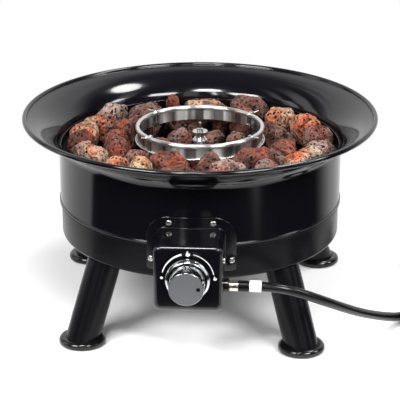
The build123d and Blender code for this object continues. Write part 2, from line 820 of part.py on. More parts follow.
def rock_row(name, row, count, heights, lift, first_angle, seed):
    # Stones of uneven width share out the circle, heaped higher at the front
    shares = [1 - rock_mixed + 2 * rock_mixed * wobble(seed + 7 * i) for i in range(count)]
    low, high = row
    middle = (low + high) / 2
    angle = first_angle
    with BuildPart() as rocks:
        for i, share in enumerate(shares):
            width = 360 * share / sum(shares)
            radial_half = (high - low) / 2 * (1 - rock_ragged * wobble(seed + i))
            across_half = middle * sin(radians(width) / 2) - rock_gap / 2
            ahead = -sin(radians(angle + width / 2))
            heap = lift * max(0, ahead - front_share) / (1 - front_share)
            tall_half = (heights[0] + (heights[1] - heights[0]) * wobble(seed + i + 0.6) + heap) / 2
            halves = (radial_half, across_half, tall_half)
            ConvexPolyhedron(stone(angle + width / 2, middle, halves, seed + i))
            angle += width
    save(rocks.part, name)


rock_row("lava_rocks_outer", outer_row, outer_rocks, outer_height, front_lift, 4.0, 11)
rock_row("lava_rocks_inner", inner_row, inner_rocks, inner_height, front_lift, 10.0, 47)
rock_row("lava_rocks_core", core_row, core_rocks, core_height, 0.0, 0.0, 83)

# Gas inlet: union through the box's side, collar, hex fitting, ferrule
box_side_x = box_width / 2


def beside(x):
    # An upright plane across the inlet's axis, its normal to the right
    return Plane((x, bowl_y - inlet_d, inlet_z), x_dir=(0, 1, 0), z_dir=(1, 0, 0))


collar_end_x = box_side_x + collar_length
fitting_end_x = collar_end_x + fitting_length
ferrule_end_x = fitting_end_x + ferrule_length
with BuildPart() as inlet_union:
    with BuildSketch(beside(valve_width / 2)):
        Circle(union_dia / 2)
        Circle(union_bore / 2, mode=Mode.SUBTRACT)
    extrude(amount=collar_end_x - valve_width / 2)
save(inlet_union.part, "inlet_union")

with BuildPart() as hose_collar:
    with BuildSketch(beside(box_side_x)):
        Circle(collar_dia / 2)
    extrude(amount=collar_length)
    fillet(hose_collar.faces().sort_by(Axis.X)[-1].edges(), 1.5 * sheet)
    with BuildSketch(beside(box_side_x)):
        Circle(union_dia / 2 + union_fit)
    extrude(amount=collar_length, mode=Mode.SUBTRACT)
save(hose_collar.part, "hose_collar")

with BuildPart() as hose_fitting:
    with BuildSketch(beside(collar_end_x)):
        RegularPolygon(fitting_flats / 2, 6, major_radius=False)
    extrude(amount=fitting_length / 2)
    with BuildSketch(beside(collar_end_x + fitting_length / 2)):
        Circle(fitting_flats / 2 - sheet)
    extrude(amount=fitting_length / 2)
    with BuildSketch(beside(collar_end_x)):
        Circle(union_bore / 2)
    extrude(amount=fitting_length, mode=Mode.SUBTRACT)
save(hose_fitting.part, "hose_fitting")

with BuildPart() as hose_ferrule:
    with BuildSketch(beside(fitting_end_x)):
        Circle(ferrule_dia / 2)
    extrude(amount=ferrule_length)
    fillet(hose_ferrule.edges().filter_by(GeomType.CIRCLE), sheet / 2)
save(hose_ferrule.part, "hose_ferrule")

with BuildPart() as hose_tag:
    with BuildSketch(beside(ferrule_end_x + tag_gap)):
        Circle(tag_dia / 2)
        Circle(hose_dia / 2 + tag_fit, mode=Mode.SUBTRACT)
    extrude(amount=tag_length)
save(hose_tag.part, "hose_tag")

# Free stretch of the hose: straight runs joined by arcs as large as the runs allow
lead = [(ferrule_end_x, -inlet_d, inlet_z), (ferrule_end_x + hose_lead, -inlet_d, inlet_z)]
route = [Vector(x, bowl_y + y, z) for x, y, z in lead + hose_route]
runs = [b - a for a, b in zip(route, route[1:])]
bends = []
for a, b in zip(runs, runs[1:]):
    bends.append(0.45 * min(a.length, b.length) / tan(radians(a.get_angle(b)) / 2))
print("hose bend radii", [round(r) for r in bends])
with BuildPart() as gas_hose:
    with BuildLine() as hose_line:
        FilletPolyline(*route, radius=bends)
    with BuildSketch(Plane(route[0], z_dir=runs[0])):
        Circle(hose_dia / 2)
    sweep(path=hose_line.wire())
hose_length = hose_line.wire().length
print("hose volume over section times length", gas_hose.part.volume / (pi * hose_dia**2 / 4 * hose_length))
save(gas_hose.part, "gas_hose")

# Coil of the rest: half turns that spiral in, climb one layer, and spiral out again
pitch = hose_dia + coil_gap
ahead = Vector(runs[-1].X, runs[-1].Y, 0).normalized()
inward = Vector(ahead.Y, -ahead.X, 0)
radii = [coil_least_r + pitch / 2 * k for k in range(coil_in, 0, -1)]
radii += [coil_least_r]
radii += [coil_least_r + pitch / 2 * (k + 1) for k in range(coil_out)]
place = route[-1]
heading = ahead
coil_points = []
with BuildPart() as hose_coil:
    with BuildLine() as coil_line:
        for turn, r in enumerate(radii):
            across = inward * (-1) ** turn
            rise = Vector(0, 0, pitch if turn == coil_in else 0)
            middle = place + across * r + heading * r + rise / 2
            end = place + across * (2 * r) + rise
            ThreePointArc(place, middle, end)
            for step in range(36):
                a = radians(5 * step)
                point = place + across * (r - r * cos(a)) + heading * (r * sin(a)) + rise * (1 - cos(a)) / 2
                coil_points.append(point)
            place = end
            heading = heading * -1
        bend = JernArc(place, heading, tail_bend_r, 90 - degrees(atan2(heading.Y, heading.X)))
        tail = Line(bend @ 1, bend @ 1 + bend % 1 * hose_dia)
    with BuildSketch(Plane(route[-1], z_dir=ahead)):
        Circle(hose_dia / 2)
    sweep(path=coil_line.wire())
coil_length = coil_line.wire().length
least = min((p - q).length for i, p in enumerate(coil_points) for q in coil_points[i + 30 :])
print("coil gap to itself", least - hose_dia, "hose length", hose_length + coil_length)
save(hose_coil.part, "hose_coil")

# Tie round the coil, opposite the side where the hose comes in
coil_mid = route[-1] + inward * radii[0]
tie_way = inward
tie_side = ahead
near = [p - coil_mid for p in coil_points if abs((p - coil_mid).dot(tie_side)) < tie_width]
reach = [p.dot(tie_way) for p in near if p.dot(tie_way) > 0]
sag = (tie_width / 2) ** 2 / (2 * coil_least_r)
tie_in = min(reach) - hose_dia / 2 - sag - tie_fit
tie_out = max(reach) + hose_dia / 2 + tie_fit
tie_low = route[-1].Z - hose_dia / 2 - seat_gap
tie_high = route[-1].Z + pitch + hose_dia / 2 + seat_gap
with BuildPart() as coil_tie:
    tie_plane = Plane(coil_mid - Vector(0, 0, coil_mid.Z), x_dir=tie_way, z_dir=tie_side)
    with BuildSketch(tie_plane):
        for grow, mode in ((tie_thick, Mode.ADD), (0, Mode.SUBTRACT)):
            with Locations(((tie_in + tie_out) / 2, (tie_low + tie_high) / 2 * tie_plane.y_dir.Z)):
                wide, tall = tie_out - tie_in + 2 * grow, tie_high - tie_low + 2 * grow
                RectangleRounded(wide, tall, hose_dia / 4 + grow, mode=mode)
    extrude(amount=tie_width / 2, both=True)
save(coil_tie.part, "coil_tie")

# Regulator in line with the coil's tail
heading = tail % 1
reg_start = tail @ 1 + heading * seat_gap
reg_plane = Plane(reg_start, x_dir=(heading.Y, -heading.X, 0), z_dir=heading)


def along(x):
    return reg_plane.offset(x)


neck_x = reg_ferrule_length
body_x = neck_x + reg_neck + reg_body_dia / 2
inlet_x = body_x + reg_body_dia / 2
nipple_x = inlet_x + reg_inlet
body_spot = reg_start + heading * body_x
with BuildPart() as regulator_ferrule:
    with BuildSketch(along(0)):
        Circle(reg_ferrule_dia / 2)
    extrude(amount=reg_ferrule_length)
    fillet(regulator_ferrule.edges().filter_by(GeomType.CIRCLE), sheet / 2)
save(regulator_ferrule.part, "regulator_ferrule")

with BuildPart() as regulator_body:
    with BuildSketch(Plane((body_spot.X, body_spot.Y, 0))):
        Circle(reg_body_dia / 2)
    extrude(amount=reg_body_height)
    fillet(regulator_body.faces().sort_by(Axis.Z)[0].edges(), base_corner)
    with BuildSketch(along(neck_x)):
        Circle(reg_neck_dia / 2)
    extrude(amount=reg_neck + reg_neck_dia)
    with BuildSketch(along(body_x)):
        Circle(reg_inlet_dia / 2)
    extrude(amount=nipple_x - body_x)
save(regulator_body.part, "regulator_body")

with BuildPart() as regulator_cover:
    with BuildSketch(Plane((body_spot.X, body_spot.Y, reg_body_height))):
        Circle(reg_cover_dia / 2)
    extrude(amount=reg_cover_height)
    fillet(regulator_cover.faces().sort_by(Axis.Z)[-1].edges(), reg_cover_height / 2)
    with BuildSketch(Plane((body_spot.X, body_spot.Y, reg_body_height + reg_cover_height))):
        Circle(reg_vent_dia / 2)
    extrude(amount=-reg_cover_height / 2, mode=Mode.SUBTRACT)
save(regulator_cover.part, "regulator_cover")

collar_x = nipple_x + nut_end_gap + nut_back + nut_end_gap
with BuildPart() as regulator_nipple:
    with BuildSketch(along(nipple_x)):
        Circle(nipple_dia / 2)
    extrude(amount=nipple_length)
    fillet(regulator_nipple.edges().sort_by(Axis(reg_start, heading))[-1], nipple_dia / 4)
    with BuildSketch(along(collar_x)):
        Circle(nipple_collar_dia / 2)
    extrude(amount=nipple_collar)
save(regulator_nipple.part, "regulator_nipple")

with BuildPart() as tank_nut:
    with BuildSketch(along(nipple_x + nut_end_gap)):
        Circle(nut_dia / 2 - nut_ridge_dia / 2)
        with PolarLocations(nut_dia / 2 - nut_ridge_dia / 2, nut_ridges):
            Circle(nut_ridge_dia / 2)
        Circle(nipple_dia / 2 + nut_run, mode=Mode.SUBTRACT)
    extrude(amount=nut_length)
    with BuildSketch(along(nipple_x + nut_end_gap + nut_back)):
        Circle(nut_bore_dia / 2)
    extrude(amount=nut_length - nut_back, mode=Mode.SUBTRACT)
save(tank_nut.part, "tank_nut")

print("ferrule ends at X", ferrule_end_x, "bowl axis at Y", bowl_y)
print("nut axis", tuple(heading), "nut at", tuple(along(nipple_x).origin))
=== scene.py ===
import math

import bmesh
import bpy
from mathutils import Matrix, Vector, noise
from mathutils.bvhtree import BVHTree


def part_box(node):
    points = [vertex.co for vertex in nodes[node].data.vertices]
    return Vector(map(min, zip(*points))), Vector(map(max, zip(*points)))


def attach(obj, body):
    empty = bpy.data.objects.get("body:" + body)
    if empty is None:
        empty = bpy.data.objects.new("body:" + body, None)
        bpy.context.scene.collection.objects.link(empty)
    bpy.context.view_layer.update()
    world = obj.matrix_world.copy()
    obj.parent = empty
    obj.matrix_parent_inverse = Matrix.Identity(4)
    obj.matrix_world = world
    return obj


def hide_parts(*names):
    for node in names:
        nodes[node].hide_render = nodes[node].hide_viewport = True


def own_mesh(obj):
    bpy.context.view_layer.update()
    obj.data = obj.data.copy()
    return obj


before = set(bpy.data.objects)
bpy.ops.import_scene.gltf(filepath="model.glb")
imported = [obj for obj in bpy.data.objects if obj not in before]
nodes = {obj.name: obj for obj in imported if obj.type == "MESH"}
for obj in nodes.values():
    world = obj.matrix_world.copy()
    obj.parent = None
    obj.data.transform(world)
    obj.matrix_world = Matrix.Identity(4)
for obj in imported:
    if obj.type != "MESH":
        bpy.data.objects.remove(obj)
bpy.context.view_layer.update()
bowlLow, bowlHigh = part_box("fire_bowl")
bowlY = (bowlLow[1] + bowlHigh[1]) / 2      # the bowl's axis
knobZ = sum(corner[2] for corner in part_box("knob_face")) / 2
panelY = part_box("control_box")[0][1]
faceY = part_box("knob_face")[0][1]
mm = 0.001
mergeGap = 1e-6
sharpAngle = math.radians(35)
chassis = "fire_bowl_body"
print("frame loaded:", len(nodes), "nodes")


# Colour, nodes and objects
def hexColour(code):
    values = [int(code[i:i + 2], 16) / 255 for i in (1, 3, 5)]
    return tuple(v / 12.92 if v <= 0.04045 else ((v + 0.055) / 1.055) ** 2.4 for v in values) + (1.0,)


def addNode(tree, kind, settings=None, inputs=None, links=None):
    node = tree.nodes.new(kind)
    for name, value in (settings or {}).items():
        setattr(node, name, value)
    for socket, value in (inputs or {}).items():
        node.inputs[socket].default_value = value
    for socket, source in (links or {}).items():
        tree.links.new(source, node.inputs[socket])
    return node


def startMaterial(name, **sockets):
    material = bpy.data.materials.new(name)
    material.use_nodes = True
    tree = material.node_tree
    tree.nodes.clear()
    shader = addNode(tree, "ShaderNodeBsdfPrincipled", inputs=sockets)
    addNode(tree, "ShaderNodeOutputMaterial", links={"Surface": shader.outputs["BSDF"]})
    place = addNode(tree, "ShaderNodeTexCoord").outputs["Object"]
    return material, tree, shader, place


def newPiece(name, bm, material, body, smooth=True):
    mesh = bpy.data.meshes.new(name)
    bm.to_mesh(mesh)
    bm.free()
    piece = bpy.data.objects.new(name, mesh)
    bpy.context.scene.collection.objects.link(piece)
    mesh.materials.append(material)
    for face in mesh.polygons:
        face.use_smooth = smooth
    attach(piece, body)
    return piece


def markSharp(bm):
    for edge in bm.edges:
        if len(edge.link_faces) == 2 and edge.calc_face_angle() > sharpAngle:
            edge.smooth = False


# Camera, at the photograph's viewing angle
cameraView = {"azimuth": 3.4, "elevation": 20.95, "distance": 2.400, "aimZ": 0.151, "lens": 155.97, "sensor": 36}


def placeCamera(view):
    a, e = math.radians(view["azimuth"]), math.radians(view["elevation"])
    back = Vector((math.sin(a) * math.cos(e), -math.cos(a) * math.cos(e), math.sin(e)))
    data = bpy.data.cameras.new("camera")
    data.lens, data.sensor_width = view["lens"], view["sensor"]
    camera = bpy.data.objects.new("camera", data)
    bpy.context.scene.collection.objects.link(camera)
    camera.location = Vector((0, bowlY, view["aimZ"])) + back * view["distance"]
    camera.rotation_euler = (-back).to_track_quat("-Z", "Y").to_euler()
    bpy.context.scene.camera = camera


placeCamera(cameraView)


# Vitreous enamel on pressed steel: a deep black gloss with a faint orange peel
blackEnamel, tree, shader, place = startMaterial(
    "blackEnamelGloss", **{"Base Color": hexColour("#0A090D"), "IOR": 1.5})
peel = addNode(tree, "ShaderNodeTexNoise", inputs={"Scale": 1 / (9 * mm), "Detail": 1.0}, links={"Vector": place})
veil = addNode(tree, "ShaderNodeTexNoise", inputs={"Scale": 1 / (60 * mm), "Detail": 4.0}, links={"Vector": place})
veilRange = addNode(tree, "ShaderNodeMapRange", inputs={"To Min": 0.08, "To Max": 0.13},
                    links={"Value": veil.outputs["Fac"]})
# Softened sheet edges
rolled = addNode(tree, "ShaderNodeBevel", settings={"samples": 6}, inputs={"Radius": 2.0 * mm})
peelBump = addNode(tree, "ShaderNodeBump", inputs={"Strength": 0.03, "Distance": 0.3 * mm},
                   links={"Height": peel.outputs["Fac"], "Normal": rolled.outputs["Normal"]})
tree.links.new(veilRange.outputs["Result"], shader.inputs["Roughness"])
tree.links.new(peelBump.outputs["Normal"], shader.inputs["Normal"])

# Powder coat on tube and sheet: black, less glossy than the enamel, with a fine grit drawn at 1.6 mm to show
powderCoat, tree, shader, place = startMaterial(
    "satinPowderCoat", **{"Base Color": hexColour("#08080B"), "IOR": 1.25})
grit = addNode(tree, "ShaderNodeTexNoise", inputs={"Scale": 1 / (1.6 * mm), "Detail": 2.0}, links={"Vector": place})
cloud = addNode(tree, "ShaderNodeTexNoise", inputs={"Scale": 1 / (45 * mm), "Detail": 3.0}, links={"Vector": place})
cloudRange = addNode(tree, "ShaderNodeMapRange", inputs={"To Min": 0.22, "To Max": 0.30},
                     links={"Value": cloud.outputs["Fac"]})
gritBump = addNode(tree, "ShaderNodeBump", inputs={"Strength": 0.03, "Distance": 0.2 * mm},
                   links={"Height": grit.outputs["Fac"]})
tree.links.new(cloudRange.outputs["Result"], shader.inputs["Roughness"])
tree.links.new(gritBump.outputs["Normal"], shader.inputs["Normal"])

# Moulded black ABS: slightly glossy, with the mould's fine texture
blackPlastic, tree, shader, place = startMaterial(
    "mouldedBlackPlastic", **{"Base Color": hexColour("#0D0D0E"), "IOR": 1.46})
mould = addNode(tree, "ShaderNodeTexNoise", inputs={"Scale": 1 / (2 * mm), "Detail": 2.0}, links={"Vector": place})
mouldRange = addNode(tree, "ShaderNodeMapRange", inputs={"To Min": 0.10, "To Max": 0.20},
                     links={"Value": mould.outputs["Fac"]})
tree.links.new(mouldRange.outputs["Result"], shader.inputs["Roughness"])

# Chrome-plated plastic of the knob: mirror-like with a slight ripple
chromePlate, tree, shader, place = startMaterial(
    "chromePlatedPlastic", **{"Base Color": hexColour("#C6C8CC"), "Metallic": 1.0})
ripple = addNode(tree, "ShaderNodeTexNoise", inputs={"Scale": 1 / (7 * mm), "Detail": 1.0}, links={"Vector": place})
rippleRange = addNode(tree, "ShaderNodeMapRange", inputs={"To Min": 0.06, "To Max": 0.13},
                      links={"Value": ripple.outputs["Fac"]})
tree.links.new(rippleRange.outputs["Result"], shader.inputs["Roughness"])

# Satin aluminium face of the knob: flat grey with fine turned rings, drawn 1.2 mm apart
satinFace, tree, shader, place = startMaterial(
    "turnedSatinAluminium", **{"Base Color": hexColour("#7F8084"), "Metallic": 0.75})
centred = addNode(tree, "ShaderNodeMapping", inputs={"Location": (0, 0, -knobZ)}, links={"Vector": place})
rings = addNode(tree, "ShaderNodeTexWave", settings={"wave_type": "RINGS", "rings_direction": "Y"},
                inputs={"Scale": 1 / (1.2 * mm) / 6.28, "Distortion": 0.4}, links={"Vector": centred.outputs["Vector"]})
ringsRange = addNode(tree, "ShaderNodeMapRange", inputs={"To Min": 0.42, "To Max": 0.52},
                     links={"Value": rings.outputs["Fac"]})
tree.links.new(ringsRange.outputs["Result"], shader.inputs["Roughness"])

# Brushed stainless steel: the grain runs round the piece, so highlights stand upright; streaks drawn 1 mm wide
brushedSteel, tree, shader, place = startMaterial(
    "brushedStainlessSteel",
    **{"Metallic": 1.0, "Anisotropic": 0.95, "Anisotropic Rotation": 0.25})
grainWay = addNode(tree, "ShaderNodeTangent", settings={"direction_type": "RADIAL", "axis": "Z"})
streak = addNode(tree, "ShaderNodeMapping", inputs={"Scale": (1 / (60 * mm), 1 / (60 * mm), 1 / (1 * mm))},
                 links={"Vector": place})
streakNoise = addNode(tree, "ShaderNodeTexNoise", inputs={"Scale": 1.0, "Detail": 3.0},
                      links={"Vector": streak.outputs["Vector"]})
streakRange = addNode(tree, "ShaderNodeMapRange", inputs={"To Min": 0.24, "To Max": 0.34},
                      links={"Value": streakNoise.outputs["Fac"]})
streakBump = addNode(tree, "ShaderNodeBump", inputs={"Strength": 0.05, "Distance": 0.1 * mm},
                     links={"Height": streakNoise.outputs["Fac"]})
# Painted reflections: lighter and darker upright bars across the band below the bead, about 15 mm wide; the bead takes
# the light colour all round as a painted highlight
onAxis = addNode(tree, "ShaderNodeMapping", inputs={"Location": (0, -bowlY, 0)}, links={"Vector": place})
spot = addNode(tree, "ShaderNodeSeparateXYZ", links={0: onAxis.outputs["Vector"]})
ahead = addNode(tree, "ShaderNodeMath", settings={"operation": "MULTIPLY"}, inputs={1: -1.0},
                links={0: spot.outputs["Y"]})
around = addNode(tree, "ShaderNodeMath", settings={"operation": "ARCTAN2"},
                 links={0: spot.outputs["X"], 1: ahead.outputs[0]})
reflectionBars = addNode(tree, "ShaderNodeTexNoise", settings={"noise_dimensions": "1D"}, inputs={"Scale": 5.0, "Detail": 1.0},
               links={"W": around.outputs[0]})
reflectionBarRange = addNode(tree, "ShaderNodeMapRange", settings={"interpolation_type": "SMOOTHSTEP"},
                   inputs={"From Min": 0.40, "From Max": 0.62}, links={"Value": reflectionBars.outputs["Fac"]})
beadHighlight = addNode(tree, "ShaderNodeMapRange", inputs={"From Min": 255.0 * mm, "From Max": 256.0 * mm},
                 links={"Value": spot.outputs["Z"]})
reflectionShare = addNode(tree, "ShaderNodeMath", settings={"operation": "MAXIMUM"},
                   links={0: reflectionBarRange.outputs["Result"], 1: beadHighlight.outputs["Result"]})
reflectionMix = addNode(tree, "ShaderNodeMix", settings={"data_type": "RGBA"},
                 inputs={"A": hexColour("#6C6A69"), "B": hexColour("#DAD9D7")}, links={"Factor": reflectionShare.outputs[0]})
tree.links.new(reflectionMix.outputs["Result"], shader.inputs["Base Color"])
tree.links.new(grainWay.outputs["Tangent"], shader.inputs["Tangent"])
tree.links.new(streakRange.outputs["Result"], shader.inputs["Roughness"])
tree.links.new(streakBump.outputs["Normal"], shader.inputs["Normal"])

# Drawn steel wire and bright zinc plate: smooth, a little uneven
brightSteel, tree, shader, place = startMaterial(
    "brightZincPlatedSteel", **{"Base Color": hexColour("#D2D1CE"), "Metallic": 1.0})
mottle = addNode(tree, "ShaderNodeTexNoise", inputs={"Scale": 1 / (3 * mm), "Detail": 3.0}, links={"Vector": place})
mottleRange = addNode(tree, "ShaderNodeMapRange", inputs={"To Min": 0.14, "To Max": 0.30},
                      links={"Value": mottle.outputs["Fac"]})
tree.links.new(mottleRange.outputs["Result"], shader.inputs["Roughness"])

# Nickel-plated brass of the hose end: warm white metal with turned lines
nickelPlate, tree, shader, place = startMaterial(
    "nickelPlatedBrass", **{"Base Color": hexColour("#D3CDC3"), "Metallic": 1.0})
turned = addNode(tree, "ShaderNodeTexWave", settings={"bands_direction": "X"},
                 inputs={"Scale": 1 / (1.5 * mm) / 6.28, "Distortion": 0.3}, links={"Vector": place})
turnedRange = addNode(tree, "ShaderNodeMapRange", inputs={"To Min": 0.12, "To Max": 0.26},
                      links={"Value": turned.outputs["Fac"]})
tree.links.new(turnedRange.outputs["Result"], shader.inputs["Roughness"])

# Machined brass: tarnished unevenly
brass, tree, shader, place = startMaterial("machinedBrass", **{"Metallic": 1.0})
tarnish = addNode(tree, "ShaderNodeTexNoise", inputs={"Scale": 1 / (8 * mm), "Detail": 4.0}, links={"Vector": place})
tarnishMix = addNode(tree, "ShaderNodeMix", settings={"data_type": "RGBA"},
                     inputs={"A": hexColour("#B98F48"), "B": hexColour("#94713A")},
                     links={"Factor": tarnish.outputs["Fac"]})
tarnishRange = addNode(tree, "ShaderNodeMapRange", inputs={"To Min": 0.2, "To Max": 0.38},
                       links={"Value": tarnish.outputs["Fac"]})
tree.links.new(tarnishMix.outputs["Result"], shader.inputs["Base Color"])
tree.links.new(tarnishRange.outputs["Result"], shader.inputs["Roughness"])

# Die-cast zinc of the regulator: matt grey, lightly pebbled
castZinc, tree, shader, place = startMaterial(
    "dieCastZinc", **{"Base Color": hexColour("#9A9C9E"), "Metallic": 0.9})
pebble = addNode(tree, "ShaderNodeTexNoise", inputs={"Scale": 1 / (1.5 * mm), "Detail": 3.0}, links={"Vector": place})
pebbleRange = addNode(tree, "ShaderNodeMapRange", inputs={"To Min": 0.36, "To Max": 0.52},
                      links={"Value": pebble.outputs["Fac"]})
pebbleBump = addNode(tree, "ShaderNodeBump", inputs={"Strength": 0.2, "Distance": 0.3 * mm},
                     links={"Height": pebble.outputs["Fac"]})
tree.links.new(pebbleRange.outputs["Result"], shader.inputs["Roughness"])
tree.links.new(pebbleBump.outputs["Normal"], shader.inputs["Normal"])

# Extruded rubber gas hose: smooth satin black, dusty in places
hoseRubber, tree, shader, place = startMaterial("extrudedHoseRubber", **{"IOR": 1.38})
dust = addNode(tree, "ShaderNodeTexNoise", inputs={"Scale": 1 / (14 * mm), "Detail": 5.0}, links={"Vector": place})
dustMix = addNode(tree, "ShaderNodeMix", settings={"data_type": "RGBA"},
                  inputs={"A": hexColour("#070708"), "B": hexColour("#101011")}, links={"Factor": dust.outputs["Fac"]})
dustRange = addNode(tree, "ShaderNodeMapRange", inputs={"To Min": 0.16, "To Max": 0.26},
                    links={"Value": dust.outputs["Fac"]})
tree.links.new(dustMix.outputs["Result"], shader.inputs["Base Color"])
tree.links.new(dustRange.outputs["Result"], shader.inputs["Roughness"])

# White vinyl sleeve, left bare
whiteVinyl, tree, shader, place = startMaterial("whiteVinylSleeve", **{"IOR": 1.46})
handled = addNode(tree, "ShaderNodeTexNoise", inputs={"Scale": 1 / (6 * mm), "Detail": 3.0}, links={"Vector": place})
handledMix = addNode(tree, "ShaderNodeMix", settings={"data_type": "RGBA"},
                     inputs={"A": hexColour("#ECECE8"), "B": hexColour("#D6D6D1")},
                     links={"Factor": handled.outputs["Fac"]})
handledRange = addNode(tree, "ShaderNodeMapRange", inputs={"To Min": 0.35, "To Max": 0.5},
                       links={"Value": handled.outputs["Fac"]})
tree.links.new(handledMix.outputs["Result"], shader.inputs["Base Color"])
tree.links.new(handledRange.outputs["Result"], shader.inputs["Roughness"])

# Screen-printed white ink on the panel
whiteInk, tree, shader, place = startMaterial("screenPrintedWhiteInk", **{"Base Color": hexColour("#EDEDED")})
inkNoise = addNode(tree, "ShaderNodeTexNoise", inputs={"Scale": 1 / (1 * mm)}, links={"Vector": place})
inkRange = addNode(tree, "ShaderNodeMapRange", inputs={"To Min": 0.45, "To Max": 0.6},
                   links={"Value": inkNoise.outputs["Fac"]})
tree.links.new(inkRange.outputs["Result"], shader.inputs["Roughness"])

# Black ink of the pointer dot
blackInk, tree, shader, place = startMaterial(
    "filledBlackInk", **{"Base Color": hexColour("#030303"), "Specular IOR Level": 0.1})
dotNoise = addNode(tree, "ShaderNodeTexNoise", inputs={"Scale": 1 / (1 * mm)}, links={"Vector": place})
dotRange = addNode(tree, "ShaderNodeMapRange", inputs={"To Min": 0.3, "To Max": 0.5},
                   links={"Value": dotNoise.outputs["Fac"]})
tree.links.new(dotRange.outputs["Result"], shader.inputs["Roughness"])


# Scoria: rough oxidised lava, mottled from its body colour to a second one, paler on the raised crests, with painted
# shade darkening the hollows, the pits and the gaps between the stones
def lavaMaterial(name, body, second, crestTone):
    material, tree, shader, place = startMaterial(name, **{"Specular IOR Level": 0.2})
    patch = addNode(tree, "ShaderNodeTexNoise", inputs={"Scale": 1 / (26 * mm), "Detail": 6.0, "Roughness": 0.60},
                    links={"Vector": place})
    patchRamp = addNode(tree, "ShaderNodeMapRange", inputs={"From Min": 0.43, "From Max": 0.57},
                        links={"Value": patch.outputs["Fac"]})
    twoTone = addNode(tree, "ShaderNodeMix", settings={"data_type": "RGBA"},
                      inputs={"A": hexColour(body), "B": hexColour(second)},
                      links={"Factor": patchRamp.outputs["Result"]})
    grain = addNode(tree, "ShaderNodeTexNoise", inputs={"Scale": 1 / (2.6 * mm), "Detail": 6.0, "Roughness": 0.75},
                    links={"Vector": place})
    # Paler towards the raised crests
    crest = addNode(tree, "ShaderNodeAttribute", settings={"attribute_name": "crest"})
    crestGrain = addNode(tree, "ShaderNodeMath", settings={"operation": "MULTIPLY_ADD"}, inputs={1: 0.75},
                         links={0: crest.outputs["Fac"], 2: grain.outputs["Fac"]})
    crestToneRamp = addNode(tree, "ShaderNodeMapRange", inputs={"From Min": 0.74, "From Max": 1.20, "To Max": 0.52},
                        links={"Value": crestGrain.outputs[0]})
    crestToned = addNode(tree, "ShaderNodeMix", settings={"data_type": "RGBA"}, inputs={"B": hexColour(crestTone)},
                      links={"Factor": crestToneRamp.outputs["Result"], "A": twoTone.outputs["Result"]})
    # Painted shade: darker towards the hollows between the crests
    hollowShade = addNode(tree, "ShaderNodeMapRange", inputs={"From Min": 0.44, "From Max": 0.10, "To Max": 0.75},
                     links={"Value": crest.outputs["Fac"]})
    shaded = addNode(tree, "ShaderNodeMix", settings={"data_type": "RGBA"}, inputs={"B": hexColour("#3A2520")},
                     links={"Factor": hollowShade.outputs["Result"], "A": crestToned.outputs["Result"]})
    # Painted shade: the pits, and pinholes drawn only in colour, darkened to near black
    pit = addNode(tree, "ShaderNodeAttribute", settings={"attribute_name": "pitDepth"})
    vesicles = addNode(tree, "ShaderNodeTexVoronoi", inputs={"Scale": 1 / (4.6 * mm)}, links={"Vector": place})
    ownSize = addNode(tree, "ShaderNodeSeparateColor", links={"Color": vesicles.outputs["Color"]})
    reach = addNode(tree, "ShaderNodeMapRange", inputs={"From Min": 0.12, "To Max": 0.46},
                    links={"Value": ownSize.outputs["Red"]})
    inside = addNode(tree, "ShaderNodeMath", settings={"operation": "SUBTRACT"},
                     links={0: reach.outputs["Result"], 1: vesicles.outputs["Distance"]})
    pinholeShade = addNode(tree, "ShaderNodeMapRange", inputs={"From Max": 0.10}, links={"Value": inside.outputs[0]})
    hole = addNode(tree, "ShaderNodeMath", settings={"operation": "MAXIMUM"},
                   links={0: pit.outputs["Fac"], 1: pinholeShade.outputs["Result"]})
    pitShadeRamp = addNode(tree, "ShaderNodeMapRange", inputs={"From Min": 0.12, "From Max": 0.45, "To Max": 0.97},
                      links={"Value": hole.outputs[0]})
    pitShaded = addNode(tree, "ShaderNodeMix", settings={"data_type": "RGBA"}, inputs={"B": hexColour("#150E0C")},
                     links={"Factor": pitShadeRamp.outputs["Result"], "A": shaded.outputs["Result"]})
    # Painted shade in the gaps between the stones, darkened by ambient occlusion
    gapOcclusion = addNode(tree, "ShaderNodeAmbientOcclusion", settings={"samples": 8}, inputs={"Distance": 24 * mm})
    gapShadeRange = addNode(tree, "ShaderNodeMapRange", inputs={"From Min": 0.90, "From Max": 0.35, "To Max": 0.92},
                       links={"Value": gapOcclusion.outputs["AO"]})
    gapShaded = addNode(tree, "ShaderNodeMix", settings={"data_type": "RGBA"}, inputs={"B": hexColour("#0E0908")},
                    links={"Factor": gapShadeRange.outputs["Result"], "A": pitShaded.outputs["Result"]})
    speck = addNode(tree, "ShaderNodeBump", inputs={"Strength": 0.7, "Distance": 0.9 * mm},
                    links={"Height": grain.outputs["Fac"]})
    rough = addNode(tree, "ShaderNodeMapRange", inputs={"To Min": 0.82, "To Max": 1.0},
                    links={"Value": grain.outputs["Fac"]})
    tree.links.new(gapShaded.outputs["Result"], shader.inputs["Base Color"])
    tree.links.new(rough.outputs["Result"], shader.inputs["Roughness"])
    tree.links.new(speck.outputs["Normal"], shader.inputs["Normal"])
    return material


lavaTints = {
    "red": lavaMaterial("scoriaBrickRed", "#743120", "#56332B", "#926E5E"),
    "orange": lavaMaterial("scoriaOrange", "#9F4622", "#9E7E65", "#B29A82"),
    "tan": lavaMaterial("scoriaTan", "#96806C", "#8E4A2B", "#AFA190"),
    "cream": lavaMaterial("scoriaCream", "#AA9270", "#9C6C49", "#BBAD96"),
    "pink": lavaMaterial("scoriaPinkGrey", "#836E66", "#743926", "#A5998F"),
    "mauve": lavaMaterial("scoriaMauveGrey", "#654F4A", "#613023", "#8A7D77"),
    "brown": lavaMaterial("scoriaDarkBrown", "#543228", "#61443C", "#7D685E"),
}
print("materials made")


